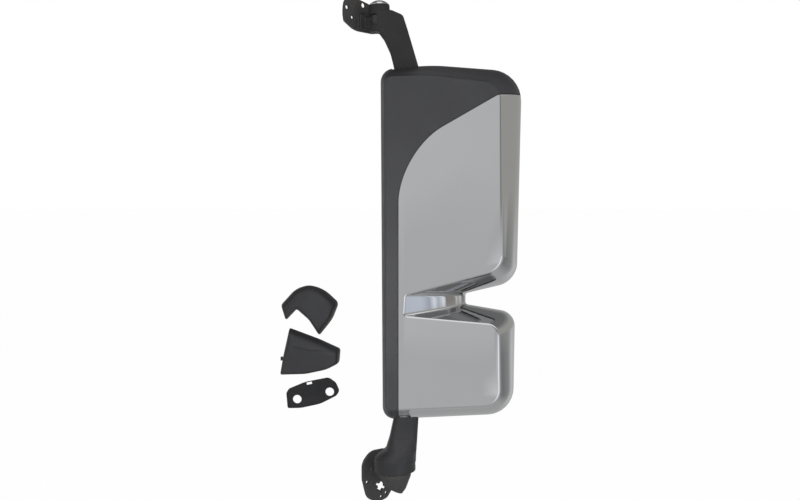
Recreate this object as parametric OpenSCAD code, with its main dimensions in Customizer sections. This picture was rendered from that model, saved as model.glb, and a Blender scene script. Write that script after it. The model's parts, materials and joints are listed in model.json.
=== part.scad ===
// Heavy vehicle exterior mirror, left-hand side: one head with a main and a wide-angle glass,
// hung between a lower and an upper bracket on a steel tube, with its three cover pieces beside it.
// Origin: back face of the lower flange at its bolt circle centre. +Z up, +X outboard, +Y rearward.

/* [Head shell] */
// Width of the head over its rim
head_w = 275; // [229:1:330]
// Height of the head over its rim
head_h = 698; // [582:1:838]
// Depth of the front shell from its rim to its face
shell_d = 87; // [73:1:105]
// Depth of the rear bezel behind the rim
bezel_d = 18; // [15:1:22]
// Wall of the black front housing
shell_t = 2.5; // [2:0.1:3]
// Wall of the bright cover that lies in the front housing
skin_t = 2; // [1.6:0.1:2.4]
// How far the air channel reaches in from the outboard side
channel_d = 107; // [89:1:128]
// Height of the air channel at its neck
channel_h = 22; // [18:1:27]
// Height of the air channel's lower edge above the head's lowest edge
channel_z = 227; // [210:1:272]

/* [Glass] */
// Gap between a glass and the bezel opening around it
glass_gap = 5; // [4:0.5:6]
// Thickness of a glass
glass_t = 3; // [2.5:0.1:3.6]
// Radius of curvature of the wide-angle glass
wide_curve = 600; // [500:10:720]
// Distance from a glass pivot to each of its adjusting spindles
spindle_r = 42; // [38:0.5:50]
// Radius of an adjusting spindle
spindle_rod = 3.5; // [2.9:0.1:4.2]

/* [Tube and arms] */
// Outer radius of the steel tube that carries the head
tube_r = 12.5; // [10.4:0.1:15]
// Wall of the steel tube
tube_t = 2.2; // [1.8:0.1:2.7]
// Radius of the lower pivot pin
low_pin_r = 8; // [6.6:0.1:9.6]
// Radius of the upper pivot bolt
high_pin_r = 7; // [5.8:0.1:8.4]
// Height of the head's lowest edge above the lower bolt circle centre
head_low = 118; // [112:1:142]
// Radius of the lower arm's foot
foot_r = 41; // [40:0.5:49]

/* [Brackets] */
// Thickness of both flange plates
plate_t = 6; // [5:0.5:7.5]
// Bolt circle diameter of the lower flange, three bolts
low_pcd = 60; // [56:1:72]
// Distance between the two bolts of the upper flange
high_pcd = 68; // [60:1:76]
// Radius of every bracket bolt hole
bolt_hole_r = 3.5; // [2.9:0.05:4.2]
// Distance from the lower flange's back face to the fold axis
stand_off = 64.3; // [62:0.1:77]
// Lean of the fold axis towards the cab at its top, in degrees
axis_lean = 1.9; // [1.6:0.1:2.2]

/* [Hidden] */
$fn = 48;
eps = 0.01;
run = 0.05;      // radial clearance of a running fit
seat = 0.3;      // gap between pieces that lie against each other
plate_turn = 53.13;
n_x = cos(plate_turn);
n_y = -sin(plate_turn);

// fold axis: a point at height zero, and its place at a height
axis_x0 = stand_off * n_x + 0.3;
axis_y = stand_off * n_y + 0.2;
function axis_x(z) = axis_x0 - z * tan(axis_lean);

// head frame: its own zero lies at the head's lowest edge, just inside the inboard end of the glass
head_x = 48;
head_y = -21;
head_high = head_low + head_h;
x_in = -37.5;
x_out = head_w + x_in;
rim_y = 2;
face_y = rim_y - shell_d;
wall = skin_t + seat + shell_t;
chan_x = x_out - channel_d;
chan_top = channel_z + channel_h;
tube_x = 6;                      // in the head frame
tube_y = axis_y - head_y;        // in the head frame

// outline corners as [x, z, radius], counter-clockwise seen from the front
rim = [[x_in + 3.5, 0, 25], [x_out - 11.5, 12, 52], [x_out - 8.5, channel_z - 17, 30],
       [chan_x, channel_z, 6], [chan_x, chan_top, 6], [x_out - 5.5, chan_top + 24, 45],
       [x_out, head_h - 16, 60], [x_out * 0.26, head_h - 3, 300], [x_in, head_h - 12, 26]];
face = [[x_in + 9, 31, 12], [x_out - 44.5, 41, 32], [x_out - 47.5, channel_z - 28, 25],
        [10, channel_z - 12, 5], [12, chan_top + 4, 5], [x_out - 41.5, chan_top + 54, 35],
        [x_out - 46, head_h - 45, 35], [x_out * 0.21, head_h - 29, 200], [x_in + 8, head_h - 32, 15]];
// how late each corner turns in from the rim to the face
bulge = [2.5, 2.5, 1.6, 1.6, 1.6, 1.6, 3, 3, 3];
// the air channel reaches no further in than this at depth y
function chan_reach(y) = chan_x + (face[3][0] - chan_x) * (rim_y - y) / (shell_d - face_round);
face_round = 3;

// glasses and their pivots, in the head frame
top_margin = 26;
arm_end = 8 - top_margin;        // the upper arm ends this far from the head's top, clear of the glass
glass_x0 = 24;
main_x1 = x_out - 16;
main_z0 = chan_top + 41;
main_z1 = head_h - top_margin;
wide_x1 = x_out - 27;
wide_z0 = 25;
wide_z1 = channel_z - 27;
main_c = [(glass_x0 + main_x1) / 2, (main_z0 + main_z1) / 2];
wide_c = [(glass_x0 + wide_x1) / 2, (wide_z0 + wide_z1) / 2];
main_corners = [[glass_x0, main_z0, 25], [main_x1, main_z0, 45], [main_x1, main_z1, 50], [glass_x0, main_z1, 25]];
wide_corners = [[glass_x0, wide_z0, 25], [wide_x1, wide_z0, 38], [wide_x1, wide_z1, 34], [glass_x0, wide_z1, 20]];
pivot_y = -12;
carrier_y = 5;
carrier_t = 3;
heater_t = 1;
glue = 0.1;       // adhesive film on each side of a heater

// adjusting gear: mounting plate, gears and motors
plate_y = min(-45, tube_y - tube_r - 0.5);   // rear face of the mounting plate
plate_w = 3;
base_t = 2.7;
gear_m = 1;
gear_n = 30;
pinion_n = 10;
gear_t = 6;
gear_y = plate_y + base_t + 0.6;
gear_gap = gear_m * (gear_n + pinion_n) / 2 + 0.15;
cover_y = gear_y + gear_t + 0.6;
motor_r = 11;
motor_len = 27;
shaft_r = 1.5;
ring_in = 12;
ring_out = 18;
ring_t = 6;
ear_in = ring_out + 0.4;
ear_out = ring_out + 6;
trunnion_r = 2.5;
ball_r = 5;
socket_gap = 0.8;

// arms and pivots, heights along the fold axis
cup_top = 16;
hub_low = cup_top + 2.4;
hub_top = 46;
nut_r = min(low_pin_r + 5, 13.4);
tube_low = 74;
socket_r = min(tube_r + 4, 17.2);
tube_top = head_high + 10;
hub_r = low_pin_r + 9;
knuckle_r = high_pin_r + 13.2;
knuckle_low = head_high + 58;
knuckle_top = head_high + 109;
eye_r = high_pin_r + 8.5;
eye_low = head_high + 71;
eye_t = 20;
eye_play = 0.6;
bolt_head = 6;
washer_t = 1.2;
bush_t = 2.5;
high_c = [axis_x(head_high + 97) - 47.1 * n_x, axis_y - 47.1 * n_y, head_high + 97];

black = "#3a3b3e";
bright = "#b4b6b8";
steel = "#8f9296";
nylon = "#d8d4c8";

// ---- outlines -------------------------------------------------------------

function unit2(v) = v / norm(v);
function xy(p) = [p[0], p[1]];
function nearest_turn(a) = a > 180 ? a - 360 : (a < -180 ? a + 360 : a);

// points of one rounded corner
function corner(p0, p1, p2, r, k) =
    let (a = unit2(p0 - p1), b = unit2(p2 - p1), half = acos(max(-1, min(1, a * b))) / 2,
         t = r / tan(half), c = p1 + unit2(a + b) * r / sin(half),
         s = p1 + a * t - c, e = p1 + b * t - c,
         a0 = atan2(s[1], s[0]), turn = nearest_turn(atan2(e[1], e[0]) - a0))
    [for (i = [0:k]) c + r * [cos(a0 + turn * i / k), sin(a0 + turn * i / k)]];

// outline with every corner rounded, from [x, y, radius] corners
function rounded(c, k = 6) = let (n = len(c))
    [for (i = [0:n - 1]) each corner(xy(c[(i + n - 1) % n]), xy(c[i]), xy(c[(i + 1) % n]), c[i][2], k)];

// corners moved inwards by d, radii following
function inset(c, d) = let (n = len(c))
    [for (i = [0:n - 1])
        let (p = xy(c[i]), u = unit2(p - xy(c[(i + n - 1) % n])), v = unit2(xy(c[(i + 1) % n]) - p),
             nu = [-u[1], u[0]], nv = [-v[1], v[0]], q = p + d * (nu + nv) / (1 + nu * nv),
             out = u[0] * v[1] - u[1] * v[0] > 0)
        [q[0], q[1], max(1, out ? c[i][2] - d : c[i][2] + d)]];

// closed solid through rings of equal length
module skin(rings) {
    n = len(rings[0]);
    m = len(rings);
    polyhedron(points = [for (r = rings) each r],
        faces = concat([[for (i = [0:n - 1]) i]], [[for (i = [n - 1:-1:0]) (m - 1) * n + i]],
            [for (j = [0:m - 2]) for (i = [0:n - 1])
                [j * n + i, (j + 1) * n + i, (j + 1) * n + (i + 1) % n, j * n + (i + 1) % n]]),
        convexity = 6);
}

// shells whose curved skins are cut into each other as meshes
module as_mesh() resize([0, 0, 0]) children();

module at_head() translate([head_x, head_y, head_low]) children();
module on_axis(s = 0) translate([axis_x0, axis_y, 0]) rotate([0, -axis_lean, 0]) translate([0, 0, s]) children();
// plate frame: x away from the cab, y along the plate
module on_plate(p) translate(p) rotate([0, 0, -plate_turn]) children();
// flat shape in x and z, given thickness t from y0 rearwards
module slab(y0, t) translate([0, y0 + t, 0]) rotate([90, 0, 0]) linear_extrude(t) children();
module rod_y(r, y0, y1) translate([0, y1, 0]) rotate([90, 0, 0]) cylinder(r = r, h = y1 - y0);
module rod_x(r, x0, x1) translate([x0, 0, 0]) rotate([0, 90, 0]) cylinder(r = r, h = x1 - x0);

// ---- brackets and pivots --------------------------------------------------

low_outline = [[-37, -8, 30], [-26, -48, 22], [0, -62, 20], [24, -56, 12], [40, -36, 14],
               [39, 22, 26], [24, 47, 18], [-16, 47, 26], [-37, 26, 26]];
high_outline = [[-52, -17, 6], [-28, -33, 40], [20, -36, 30], [54, -20, 12], [54, 6, 14],
                [30, 14, 30], [-16, 27, 40], [-36, 31, 20], [-51, 24, 10], [-56, 2, 60]];
high_hole_z = -8;                // height of the upper flange's bolts in its outline
star_at = [8, -29];
star_r = 8.5;
star_reach = 13.5;
cup_r = 31.5;
cup_low = -28;
cup_profile = [[0, cup_low], [low_pin_r + 4.5, cup_low], [20.7, -17], [26.5, -3], [cup_r, 9], [cup_r, cup_top], [0, cup_top]];
cup_cut = [51.2, -26];           // the sloping underside passes here, seen from the front
cup_slope = 28;
pin_low = -13;
pin_head = 6;
pin_top = 61;

module star_hole() translate(star_at) {
    circle(r = star_r);
    for (a = [30:60:330]) rotate(a) translate([0, -2]) square([star_reach, 4]);
}

module flange(corners) rotate([90, 0, 90]) linear_extrude(plate_t) difference() {
    polygon(rounded(corners, 8));
    children();
}

module lower_bracket() color(black) difference() {
    union() {
        on_plate([0, 0, 0]) {
            flange(low_outline) {
                star_hole();
                translate([21, -45]) circle(r = 3.4);
                translate([9, -51]) circle(r = 3.4);
            }
        }
        difference() {
            union() {
                on_plate([0, 0, 0]) translate([plate_t - 1, -17, -24]) cube([stand_off - plate_t - 19, 34, 38]);
                on_axis() rotate_extrude() polygon(cup_profile);
            }
            translate([cup_cut[0], axis_y, cup_cut[1]]) rotate([0, cup_slope, 0])
                translate([-150, -100, -100]) cube([200, 200, 100]);
        }
    }
    on_plate([0, 0, 0]) for (a = [90, 210, 330])
        translate([0, low_pcd / 2 * cos(a), low_pcd / 2 * sin(a)]) rod_x(bolt_hole_r, -1, plate_t + 1);
    on_axis(cup_low - 1) cylinder(r = low_pin_r + run, h = cup_top - cup_low + 2);
    on_axis(cup_low - 1) cylinder(r = low_pin_r + 2 + seat, h = pin_low + pin_head + seat - cup_low + 1);
}

module lower_pivot_pin() color(steel) {
    on_axis(pin_low) cylinder(r = low_pin_r + 2, h = pin_head);
    on_axis(pin_low + pin_head) cylinder(r = low_pin_r, h = pin_top - pin_low - pin_head);
}

module detent_ring() color(nylon) on_axis(cup_top) difference() {
    cylinder(r = hub_r, h = hub_low - cup_top - seat);
    translate([0, 0, -1]) cylinder(r = low_pin_r + run, h = 6);
}

// four conical spring washers in opposed pairs
module spring_washers() color(steel) for (i = [0:3]) on_axis(hub_top + seat + i * 2.3)
    rotate_extrude() let (up = i % 2 == 0 ? 0 : 0.7, in = low_pin_r + run, out = low_pin_r + 5)
        polygon([[in, 0.7 - up], [out, up], [out, 1.5 + up], [in, 2.2 - up]]);

module lower_pivot_nut() color(steel) on_axis(hub_top + seat + 9.3) difference() {
    cylinder(r = nut_r, h = 5, $fn = 6);
    translate([0, 0, -1]) cylinder(r = low_pin_r + run, h = 7);
}

module upper_bracket() color(black) difference() {
    union() {
        on_plate(high_c) {
            flange(high_outline) {
                translate([-46, 10]) circle(r = 4.2);
                translate([-8, 17.5]) circle(r = 5);
            }
            translate([plate_t - 1, -20, -30]) cube([7, 40, 28]);
        }
        on_axis(eye_low) {
            cylinder(r = eye_r, h = eye_t);
            rotate([0, 0, 180 - plate_turn]) translate([4, -9, 1]) cube([39, 18, eye_t - 2]);
        }
    }
    on_plate(high_c) for (s = [-1, 1])
        translate([0, s * high_pcd / 2, high_hole_z]) rod_x(bolt_hole_r, -1, plate_t + 9);
    on_axis(eye_low - 1) cylinder(r = high_pin_r + run, h = eye_t + 2);
}

module upper_pivot_bolt() color(black) {
    on_axis(knuckle_low) cylinder(r = high_pin_r + 4, h = bolt_head, $fn = 6);
    on_axis(knuckle_low + bolt_head - 1) cylinder(r = high_pin_r, h = knuckle_top - knuckle_low - bolt_head + 8);
}

module upper_washer() color(bright) on_axis(knuckle_top + seat) difference() {
    cylinder(r = knuckle_r - 0.6, h = washer_t);
    translate([0, 0, -1]) cylinder(r = high_pin_r + run, h = washer_t + 2);
}

// low domed nut as wide as the knuckle
dome_r = knuckle_r - 1;
dome_h = 8.3;
dome_curve = (dome_r * dome_r + dome_h * dome_h) / (2 * dome_h);
module upper_dome_nut() color(bright) on_axis(knuckle_top + seat + washer_t) difference() {
    intersection() {
        cylinder(r = dome_r, h = dome_h, $fn = 96);
        translate([0, 0, dome_h - dome_curve]) sphere(r = dome_curve, $fn = 144);
    }
    translate([0, 0, -1]) cylinder(r = high_pin_r + run, h = dome_h - 1.7);
}

// ---- loose cover pieces beside the mirror ----------------------------------

loose_y = -11;
cap_t = 2.5;
cap_d = 27;
// open back and closed front of each piece; the skin between them is a quarter round
arched_back = [[-179, 312, 2.5], [-157, 335, 3], [-132, 312.5, 40], [-112.5, 281.5, 2.5], [-86, 315, 60],
               [-73.5, 347, 10], [-104, 376, 60], [-134, 383, 30], [-160, 375, 40], [-189, 343, 6]];
arched_front = [[-176, 321, 2], [-156, 343, 3], [-134, 325, 20], [-116, 300, 2], [-97, 318, 20],
                [-92, 342, 8], [-110, 360, 30], [-134, 366, 15], [-152, 359, 20], [-176, 338, 5]];
tapered_back = [[-191, 203.5, 2], [-140, 205, 60], [-98, 214, 60], [-73, 227, 8], [-70.5, 255, 6],
                [-113, 274.5, 100], [-172.5, 297, 2.5], [-185, 240, 60]];
tapered_front = [[-187, 210, 2], [-140, 211, 60], [-99, 219, 50], [-81, 228, 6], [-81, 245, 5],
                 [-112, 250, 60], [-168, 263, 8], [-181, 238, 50]];
cap_steps = [0, 0.3, 0.52, 0.7, 0.86, 1];

function cap_ring(back, front, s, d) =
    [for (p = rounded(inset([for (i = [0:len(back) - 1]) back[i] + (front[i] - back[i]) * (1 - cos(90 * s))], d), 4))
        [p[0], loose_y - cap_d * sin(90 * s) + (s == 0 ? d / cap_t : d), p[1]]];
module cap_shell(back, front) as_mesh() difference() {
    skin([for (s = cap_steps) cap_ring(back, front, s, 0)]);
    skin([for (s = cap_steps) cap_ring(back, front, s, cap_t)]);
}

module arched_cap() color(black) cap_shell(arched_back, arched_front);
module tapered_cap() color(black) as_mesh() union() {
    cap_shell(tapered_back, tapered_front);
    translate([-190, loose_y - 9, 232]) cube([4, 7, 7]);      // clip at its wide end
}

gasket_at = [-126.5, 165.5];
gasket_turn = 12.9;
gasket_outline = [[-56.5, -19, 4], [-30, -24.5, 60], [10, -25, 60], [45, -16, 10], [53, -8, 8], [50, 10, 16],
                  [38, 23.5, 12], [-10, 25, 80], [-45, 19, 8], [-52, 12, 8]];
module flange_gasket() color(black) translate([gasket_at[0], 0, gasket_at[1]]) rotate([0, -gasket_turn, 0])
    slab(loose_y - 3, 3) difference() {
        polygon(rounded(gasket_outline, 8));
        for (s = [-1, 1]) translate([s * (high_pcd / 2 - 0.5), -5.5]) circle(r = 8.6);
        translate([-8, 18]) square([11, 5]);
    }

// ---- arms and tube ----------------------------------------------------------

module lower_arm() color(steel) difference() {
    union() {
        on_axis(hub_low) cylinder(r = hub_r, h = hub_top - hub_low);
        translate([head_x + tube_x, axis_y, hub_low + 4]) cylinder(r = socket_r, h = 112 - hub_low - 4);
        translate([axis_x(40), axis_y - 12, hub_low + 4]) cube([head_x + tube_x - axis_x(40), 24, hub_top - hub_low - 8]);
    }
    on_axis(hub_low - 3) cylinder(r = low_pin_r + bush_t + run, h = hub_top);
    on_axis(hub_top) cylinder(r = nut_r + 2, h = 24);
    translate([head_x + tube_x, axis_y, tube_low - seat]) cylinder(r = tube_r + run, h = 60);
}

module lower_bush() color(nylon) on_axis(hub_low) difference() {
    cylinder(r = low_pin_r + bush_t, h = hub_top - hub_low);
    translate([0, 0, -1]) cylinder(r = low_pin_r + run, h = hub_top);
}

// stem of the lower arm as [height, value]: round over the foot, narrowing to a rounded bar in the head
stem_top = head_low + 14;
stem_left = [[44, axis_x0 - foot_r], [52, 6], [62, 20.5], [86, 28], [stem_top, 37.7]];
stem_right = [[44, axis_x0 + foot_r], [62, 80.6], [86, 82], [stem_top, 85]];
stem_half = [[44, foot_r], [52, 39.5], [62, 36], [86, 28], [stem_top, 20]];
stem_round = [[44, foot_r - 0.5], [52, 36], [62, 24], [86, 12], [stem_top, 10]];
stem_levels = [38, 44, 48, 52, 57, 62, 72, 86, 106, stem_top];
function stem_ring(z, d) = let (x0 = lookup(z, stem_left) - d, x1 = lookup(z, stem_right) + d,
        y = lookup(z, stem_half) + d, r = lookup(z, stem_round) + d)
    [for (p = rounded([[x0, -y, r], [x1, -y, r], [x1, y, r], [x0, y, r]], 7)) [p[0], axis_y + p[1], z]];

module lower_arm_cover() color(black) as_mesh() difference() {
    union() {
        on_axis(hub_low + 1) cylinder(r = foot_r, h = 22, $fn = 72);
        skin([for (z = stem_levels) stem_ring(z, 0)]);
    }
    on_axis(hub_low) cylinder(r = foot_r - cap_t, h = 22, $fn = 72);
    skin([for (z = stem_levels) stem_ring(z == stem_top ? z - 3 : z - 2, -cap_t)]);
    translate([head_x + tube_x, axis_y, 60]) cylinder(r = tube_r + seat, h = 100);
}

// upper arm seen from the front, heights from the head's top
elbow = [[39, arm_end, 3], [84.5, arm_end, 3], [83, -7, 40], [63, 60, 30], [54, 88, 10], [31, 98, 14],
         [9, 96, 6], [6, 60, 6], [18, 44, 20], [30, 18, 30]];
elbow_d = 19;

module upper_arm() color(black) difference() {
    union() {
        translate([0, axis_y - elbow_d, head_high]) slab(0, 2 * elbow_d) polygon(rounded(elbow, 5));
        on_axis(knuckle_low) cylinder(r = knuckle_r, h = knuckle_top - knuckle_low);
    }
    on_axis(eye_low - eye_play) {
        cylinder(r = eye_r + eye_play, h = eye_t + 2 * eye_play);
        linear_extrude(eye_t + 2 * eye_play) polygon(concat([[0, 0]], [for (a = [38:31:255]) 70 * [cos(a), sin(a)]]));
    }
    on_axis(knuckle_low - 20) cylinder(r = high_pin_r + bush_t + run, h = 100);
    on_axis(knuckle_low - 20) cylinder(r = high_pin_r + 5, h = 20 + bolt_head + seat);
    translate([head_x + tube_x, axis_y, head_high - 40]) cylinder(r = tube_r + run, h = 50);
}

module upper_bushes() color(nylon) {
    for (s = [[knuckle_low + bolt_head + seat, eye_low - eye_play], [eye_low + eye_t + eye_play, knuckle_top]])
        on_axis(s[0]) difference() {
        cylinder(r = high_pin_r + bush_t, h = s[1] - s[0]);
        translate([0, 0, -1]) cylinder(r = high_pin_r + run, h = s[1] - s[0] + 2);
    }
}

module spine_tube() color(steel) translate([head_x + tube_x, axis_y, tube_low]) difference() {
    cylinder(r = tube_r, h = tube_top - seat - tube_low);
    translate([0, 0, -1]) cylinder(r = tube_r - tube_t, h = tube_top - tube_low + 2);
}

// ---- head shells -------------------------------------------------------------

shell_steps = [0, 0.2, 0.4, 0.58, 0.74, 0.87, 0.95, 1];

// corners of the front shell at depth share s, from rim to face
function shell_corners(s) = [for (i = [0:len(rim) - 1]) rim[i] + (face[i] - rim[i]) * pow(s, bulge[i])];
function ring_at(c, y, k = 6) = [for (p = rounded(c, k)) [p[0], y, p[1]]];

// solid of the front shell with every wall moved in by d; over lengthens it past the rim
module front_solid(d, over = 0) skin(concat(
    over > 0 ? [ring_at(inset(rim, d), rim_y + over)] : [],
    [for (s = shell_steps) ring_at(inset(shell_corners(s), d), rim_y - s * (shell_d - face_round - d))],
    [ring_at(inset(face, d + face_round + 1), face_y + d)]));

// where the bright cover lies, seen from the front
bright_corners = [[-2.5, 3, 24], [50, -5, 60], [x_out + 60, -60, 2], [x_out + 60, head_h - 58, 2],
                  [x_out - 53, head_h - 66, 25], [-2.5, head_h - 173, 165]];
module bright_prism(d) slab(-150, 200) polygon(rounded(inset(bright_corners, -d), 10));

// ways through the head's walls for the two arms
way_gap = 1;
module arm_ways() {
    translate([-head_x, -head_y, -head_low])
        skin([for (z = [86, 106, stem_top, stem_top + 30]) stem_ring(z, way_gap)]);
    translate([-head_x, tube_y - elbow_d - way_gap, head_h]) slab(0, 2 * (elbow_d + way_gap))
        polygon(rounded(inset([for (c = elbow) c[1] == arm_end ? c - [0, 30, 0] : c], -way_gap), 5));
}

boss_spots = [[-4, 110], [170, 70], [160, channel_z - 40], [160, chan_top + 75], [150, head_h - 90], [-4, head_h - 150]];
bezel_spots = [60, channel_z + 10, head_h * 0.57, head_h - 60];
screw_x = -23;

module front_housing() color(black) at_head() as_mesh() difference() {
    union() {
        difference() {
            front_solid(0);
            front_solid(wall, 5);
            intersection() {
                bright_prism(seat);
                difference() {
                    front_solid(-5, 5);
                    front_solid(skin_t + seat, 6);
                }
            }
        }
        intersection() {
            front_solid(wall - 1);
            union() {
                for (b = boss_spots) translate([b[0], 0, b[1]])
                    rod_y(5, face_y, plate_y - plate_w - seat, $fn = 16);
                for (z = bezel_spots) translate([screw_x, 0, z]) {
                    rod_y(4, face_y, rim_y, $fn = 16);
                    translate([-20, face_y, -1.5]) cube([18, shell_d, 3]);
                }
            }
        }
    }
    arm_ways();
    for (z = bezel_spots) translate([screw_x, 0, z]) rod_y(2.2, -20, rim_y + 1, $fn = 16);
}

module chrome_cover() color(bright) at_head() as_mesh() difference() {
    intersection() {
        front_solid(0);
        bright_prism(0);
    }
    front_solid(skin_t, 5);
    arm_ways();
}

bezel_steps = [[0, 0], [8, 0.8], [14, 2.6], [18, 6]];
bezel_t = 3;
module bezel_solid(d, over) skin([for (i = [len(bezel_steps) - 1:-1:0]) let (s = bezel_steps[i])
    ring_at(inset(rim, s[1] + d), rim_y + seat + s[0] / 18 * (bezel_d - seat) - (i == 0 ? over : d))]);
module opening(corners, grow) slab(-10, 60) polygon(rounded(inset(corners, -grow), 8));

module rear_bezel() color(black) at_head() as_mesh() difference() {
    union() {
        difference() {
            bezel_solid(0, 0);
            bezel_solid(bezel_t, 5);
        }
        intersection() {
            union() for (c = [main_corners, wide_corners]) opening(c, glass_gap + 2);
            translate([-100, rim_y + 6, -50]) cube([500, bezel_d - 8, head_h + 100]);
        }
    }
    for (c = [main_corners, wide_corners]) opening(c, glass_gap);
    for (z = bezel_spots) translate([screw_x, 0, z]) rod_y(2.2, 0, 60, $fn = 16);
}

module screw(y_head, y_tip, r, head_r, head_t) {
    rod_y(head_r, y_head, y_head + head_t);
    rod_y(r, y_tip, y_head);
}

module bezel_screws() color(steel) at_head() for (z = bezel_spots) translate([screw_x, 0, z])
    screw(rim_y + bezel_d, -15, 1.7, 3.6, 1.8);

// ---- mounting plate and clamps ------------------------------------------------

plate_notch = chan_reach(plate_y - plate_w) - wall - 8;
module mounting_plate() color(steel) at_head() difference() {
    slab(plate_y - plate_w, plate_w) polygon(rounded([[-14, 32, 8], [x_out - 46, 38, 30], [x_out - 46, channel_z - 24, 20],
        [plate_notch, channel_z - 20, 6], [plate_notch, chan_top + 14, 6], [x_out - 44, chan_top + 46, 30],
        [x_out - 44, head_h - 50, 50], [-14, head_h - 50, 8]], 6));
    for (c = [main_c, wide_c]) translate([c[0], 0, c[1]]) for (p = actuator_spots)
        translate([p[0], 0, p[1]]) rod_y(p[2] + 1, plate_y - plate_w - 1, plate_y + 1);
    for (z = clamp_spots) for (s = [-1, 1]) translate([tube_x + s * clamp_hole, 0, z])
        rod_y(2.1, plate_y - plate_w - 1, plate_y + 1);
}

clamp_spots = [84, head_h * 0.45, head_h - 100];
clamp_hole = tube_r + 7;
clamp_w = 18;

module tube_clamps() color(steel) at_head() for (z = clamp_spots) translate([tube_x, tube_y, z - clamp_w / 2])
    difference() {
        linear_extrude(clamp_w) difference() {
            union() {
                circle(r = tube_r + 3.3);
                translate([-tube_r - 3.3, plate_y - tube_y]) square([2 * tube_r + 6.6, tube_y - plate_y]);
                translate([-tube_r - 11, plate_y - tube_y]) square([2 * tube_r + 22, 3]);
            }
            circle(r = tube_r + run);
            translate([-60, plate_y - tube_y - 20]) square([120, 20]);
            translate([-tube_r - run, plate_y - tube_y - 1]) square([2 * tube_r + 2 * run, tube_y - plate_y + 1]);
        }
        for (s = [-1, 1]) translate([s * clamp_hole, 0, clamp_w / 2]) rod_y(2.1, -30, 0);
    }

module clamp_screws() color(steel) at_head() for (z = clamp_spots) for (s = [-1, 1])
    translate([tube_x + s * clamp_hole, 0, z]) screw(plate_y + 3, plate_y - plate_w - 3, 2, 3.4, 2);

// cable run along the front of the mounting plate
cable_r = 2.2;
cable_y = plate_y - plate_w - cable_r - seat;
cable_x = min(chan_reach(cable_y - cable_r) - wall - 11,
    wide_c[0] - spindle_r - gear_gap - motor_r - cable_r - 3);
module run_of_cable(a, b) let (v = b - a) translate(a) rotate([0, atan2(v[0], v[2]), 0]) cylinder(r = cable_r, h = norm(v));

module wire_harness() color(black) at_head() translate([0, cable_y, 0]) {
    top = [cable_x, 0, main_c[1] + spindle_r + gear_gap];
    low = [cable_x, 0, 45];
    run_of_cable(low, top);
    for (c = [main_c, wide_c]) {
        for (z = [c[1], c[1] + spindle_r + gear_gap]) translate([cable_x, 0, z]) sphere(r = cable_r);
        run_of_cable([cable_x, 0, c[1]], [c[0] - spindle_r - gear_gap - motor_r - seat, 0, c[1]]);
        run_of_cable([cable_x, 0, c[1] + spindle_r + gear_gap],
            [c[0] - motor_r - seat, 0, c[1] + spindle_r + gear_gap]);
    }
}

// ---- glass adjusters ------------------------------------------------------------

// holes through base and plate: spindle and pinion of each axis, as [x, z, radius]
actuator_spots = [[0, spindle_r, spindle_rod], [0, spindle_r + gear_gap, shaft_r],
                  [-spindle_r, 0, spindle_rod], [-spindle_r - gear_gap, 0, shaft_r]];
gear_tip = gear_m * (gear_n / 2 + 0.8);
pinion_tip = gear_m * (pinion_n / 2 + 0.8);

module at_glass(c) at_head() translate([c[0], 0, c[1]]) children();

module gear_outline(grow) for (a = [0, 90]) rotate(a) {
    translate([0, spindle_r]) circle(r = gear_tip + grow);
    translate([0, spindle_r + gear_gap]) circle(r = pinion_tip + grow);
    translate([-pinion_tip - grow, spindle_r]) square([2 * (pinion_tip + grow), gear_gap]);
}

module actuator_base() difference() {
    union() {
        slab(plate_y, base_t) {
            circle(r = ear_out + 2);
            gear_outline(4);
        }
        for (s = [-1, 1]) translate([s > 0 ? ear_in : -ear_out, plate_y + 1, -5])
            cube([ear_out - ear_in, pivot_y + 4 - plate_y - 1, 10]);
    }
    translate([0, pivot_y, 0]) rod_x(trunnion_r + run, -ear_out - 1, ear_out + 1);
    for (p = actuator_spots) translate([p[0], 0, p[1]]) rod_y(p[2] + 1, plate_y - 1, plate_y + base_t + 1);
}

module gear_cover() difference() {
    slab(plate_y + base_t, cover_y + 2 - plate_y - base_t) gear_outline(4);
    slab(plate_y + base_t - 1, cover_y - plate_y - base_t + 1) gear_outline(1.5);
    rod_y(ear_out + 1, plate_y, cover_y + 5);
    for (p = actuator_spots) translate([p[0], 0, p[1]]) rod_y(p[2] + run, cover_y - 1, cover_y + 3);
}

module gimbal_ring() difference() {
    union() {
        translate([0, pivot_y, 0]) rod_y(ring_out, -ring_t / 2, ring_t / 2);
        translate([0, pivot_y, 0]) rod_x(trunnion_r, -ear_out, ear_out);
        translate([0, pivot_y, -ear_out]) cylinder(r = trunnion_r, h = 2 * ear_out);
    }
    translate([0, pivot_y, 0]) rod_y(ring_in, -ring_t, ring_t);
}

// toothed wheel on its own centre, a tooth (or with gap, a space) pointing along angle a
module wheel(n, a, gap, bore) difference() {
    slab(gear_y, gear_t) polygon([for (i = [0:n - 1]) let (p = 360 / n, c = a + p * (i + (gap ? 0.5 : 0)),
        r0 = gear_m * (n / 2 - 1.05), r1 = gear_m * (n / 2 + 0.8))
        each [r0 * [cos(c - 0.27 * p), sin(c - 0.27 * p)], r1 * [cos(c - 0.12 * p), sin(c - 0.12 * p)],
              r1 * [cos(c + 0.12 * p), sin(c + 0.12 * p)], r0 * [cos(c + 0.27 * p), sin(c + 0.27 * p)]]]);
    if (bore > 0) rod_y(bore, gear_y - 1, gear_y + gear_t + 1);
}

module drive_gear(i) translate([actuator_spots[2 * i][0], 0, actuator_spots[2 * i][1]])
    wheel(gear_n, 90 + 90 * i, false, spindle_rod + run);

module drive_pinion(i) translate([actuator_spots[2 * i + 1][0], 0, actuator_spots[2 * i + 1][1]]) {
    wheel(pinion_n, 270 + 90 * i, true, 0);
    rod_y(shaft_r, plate_y - plate_w - 12, gear_y + eps);
    rod_y(shaft_r, gear_y + gear_t - eps, cover_y + 1.5);
}

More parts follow.
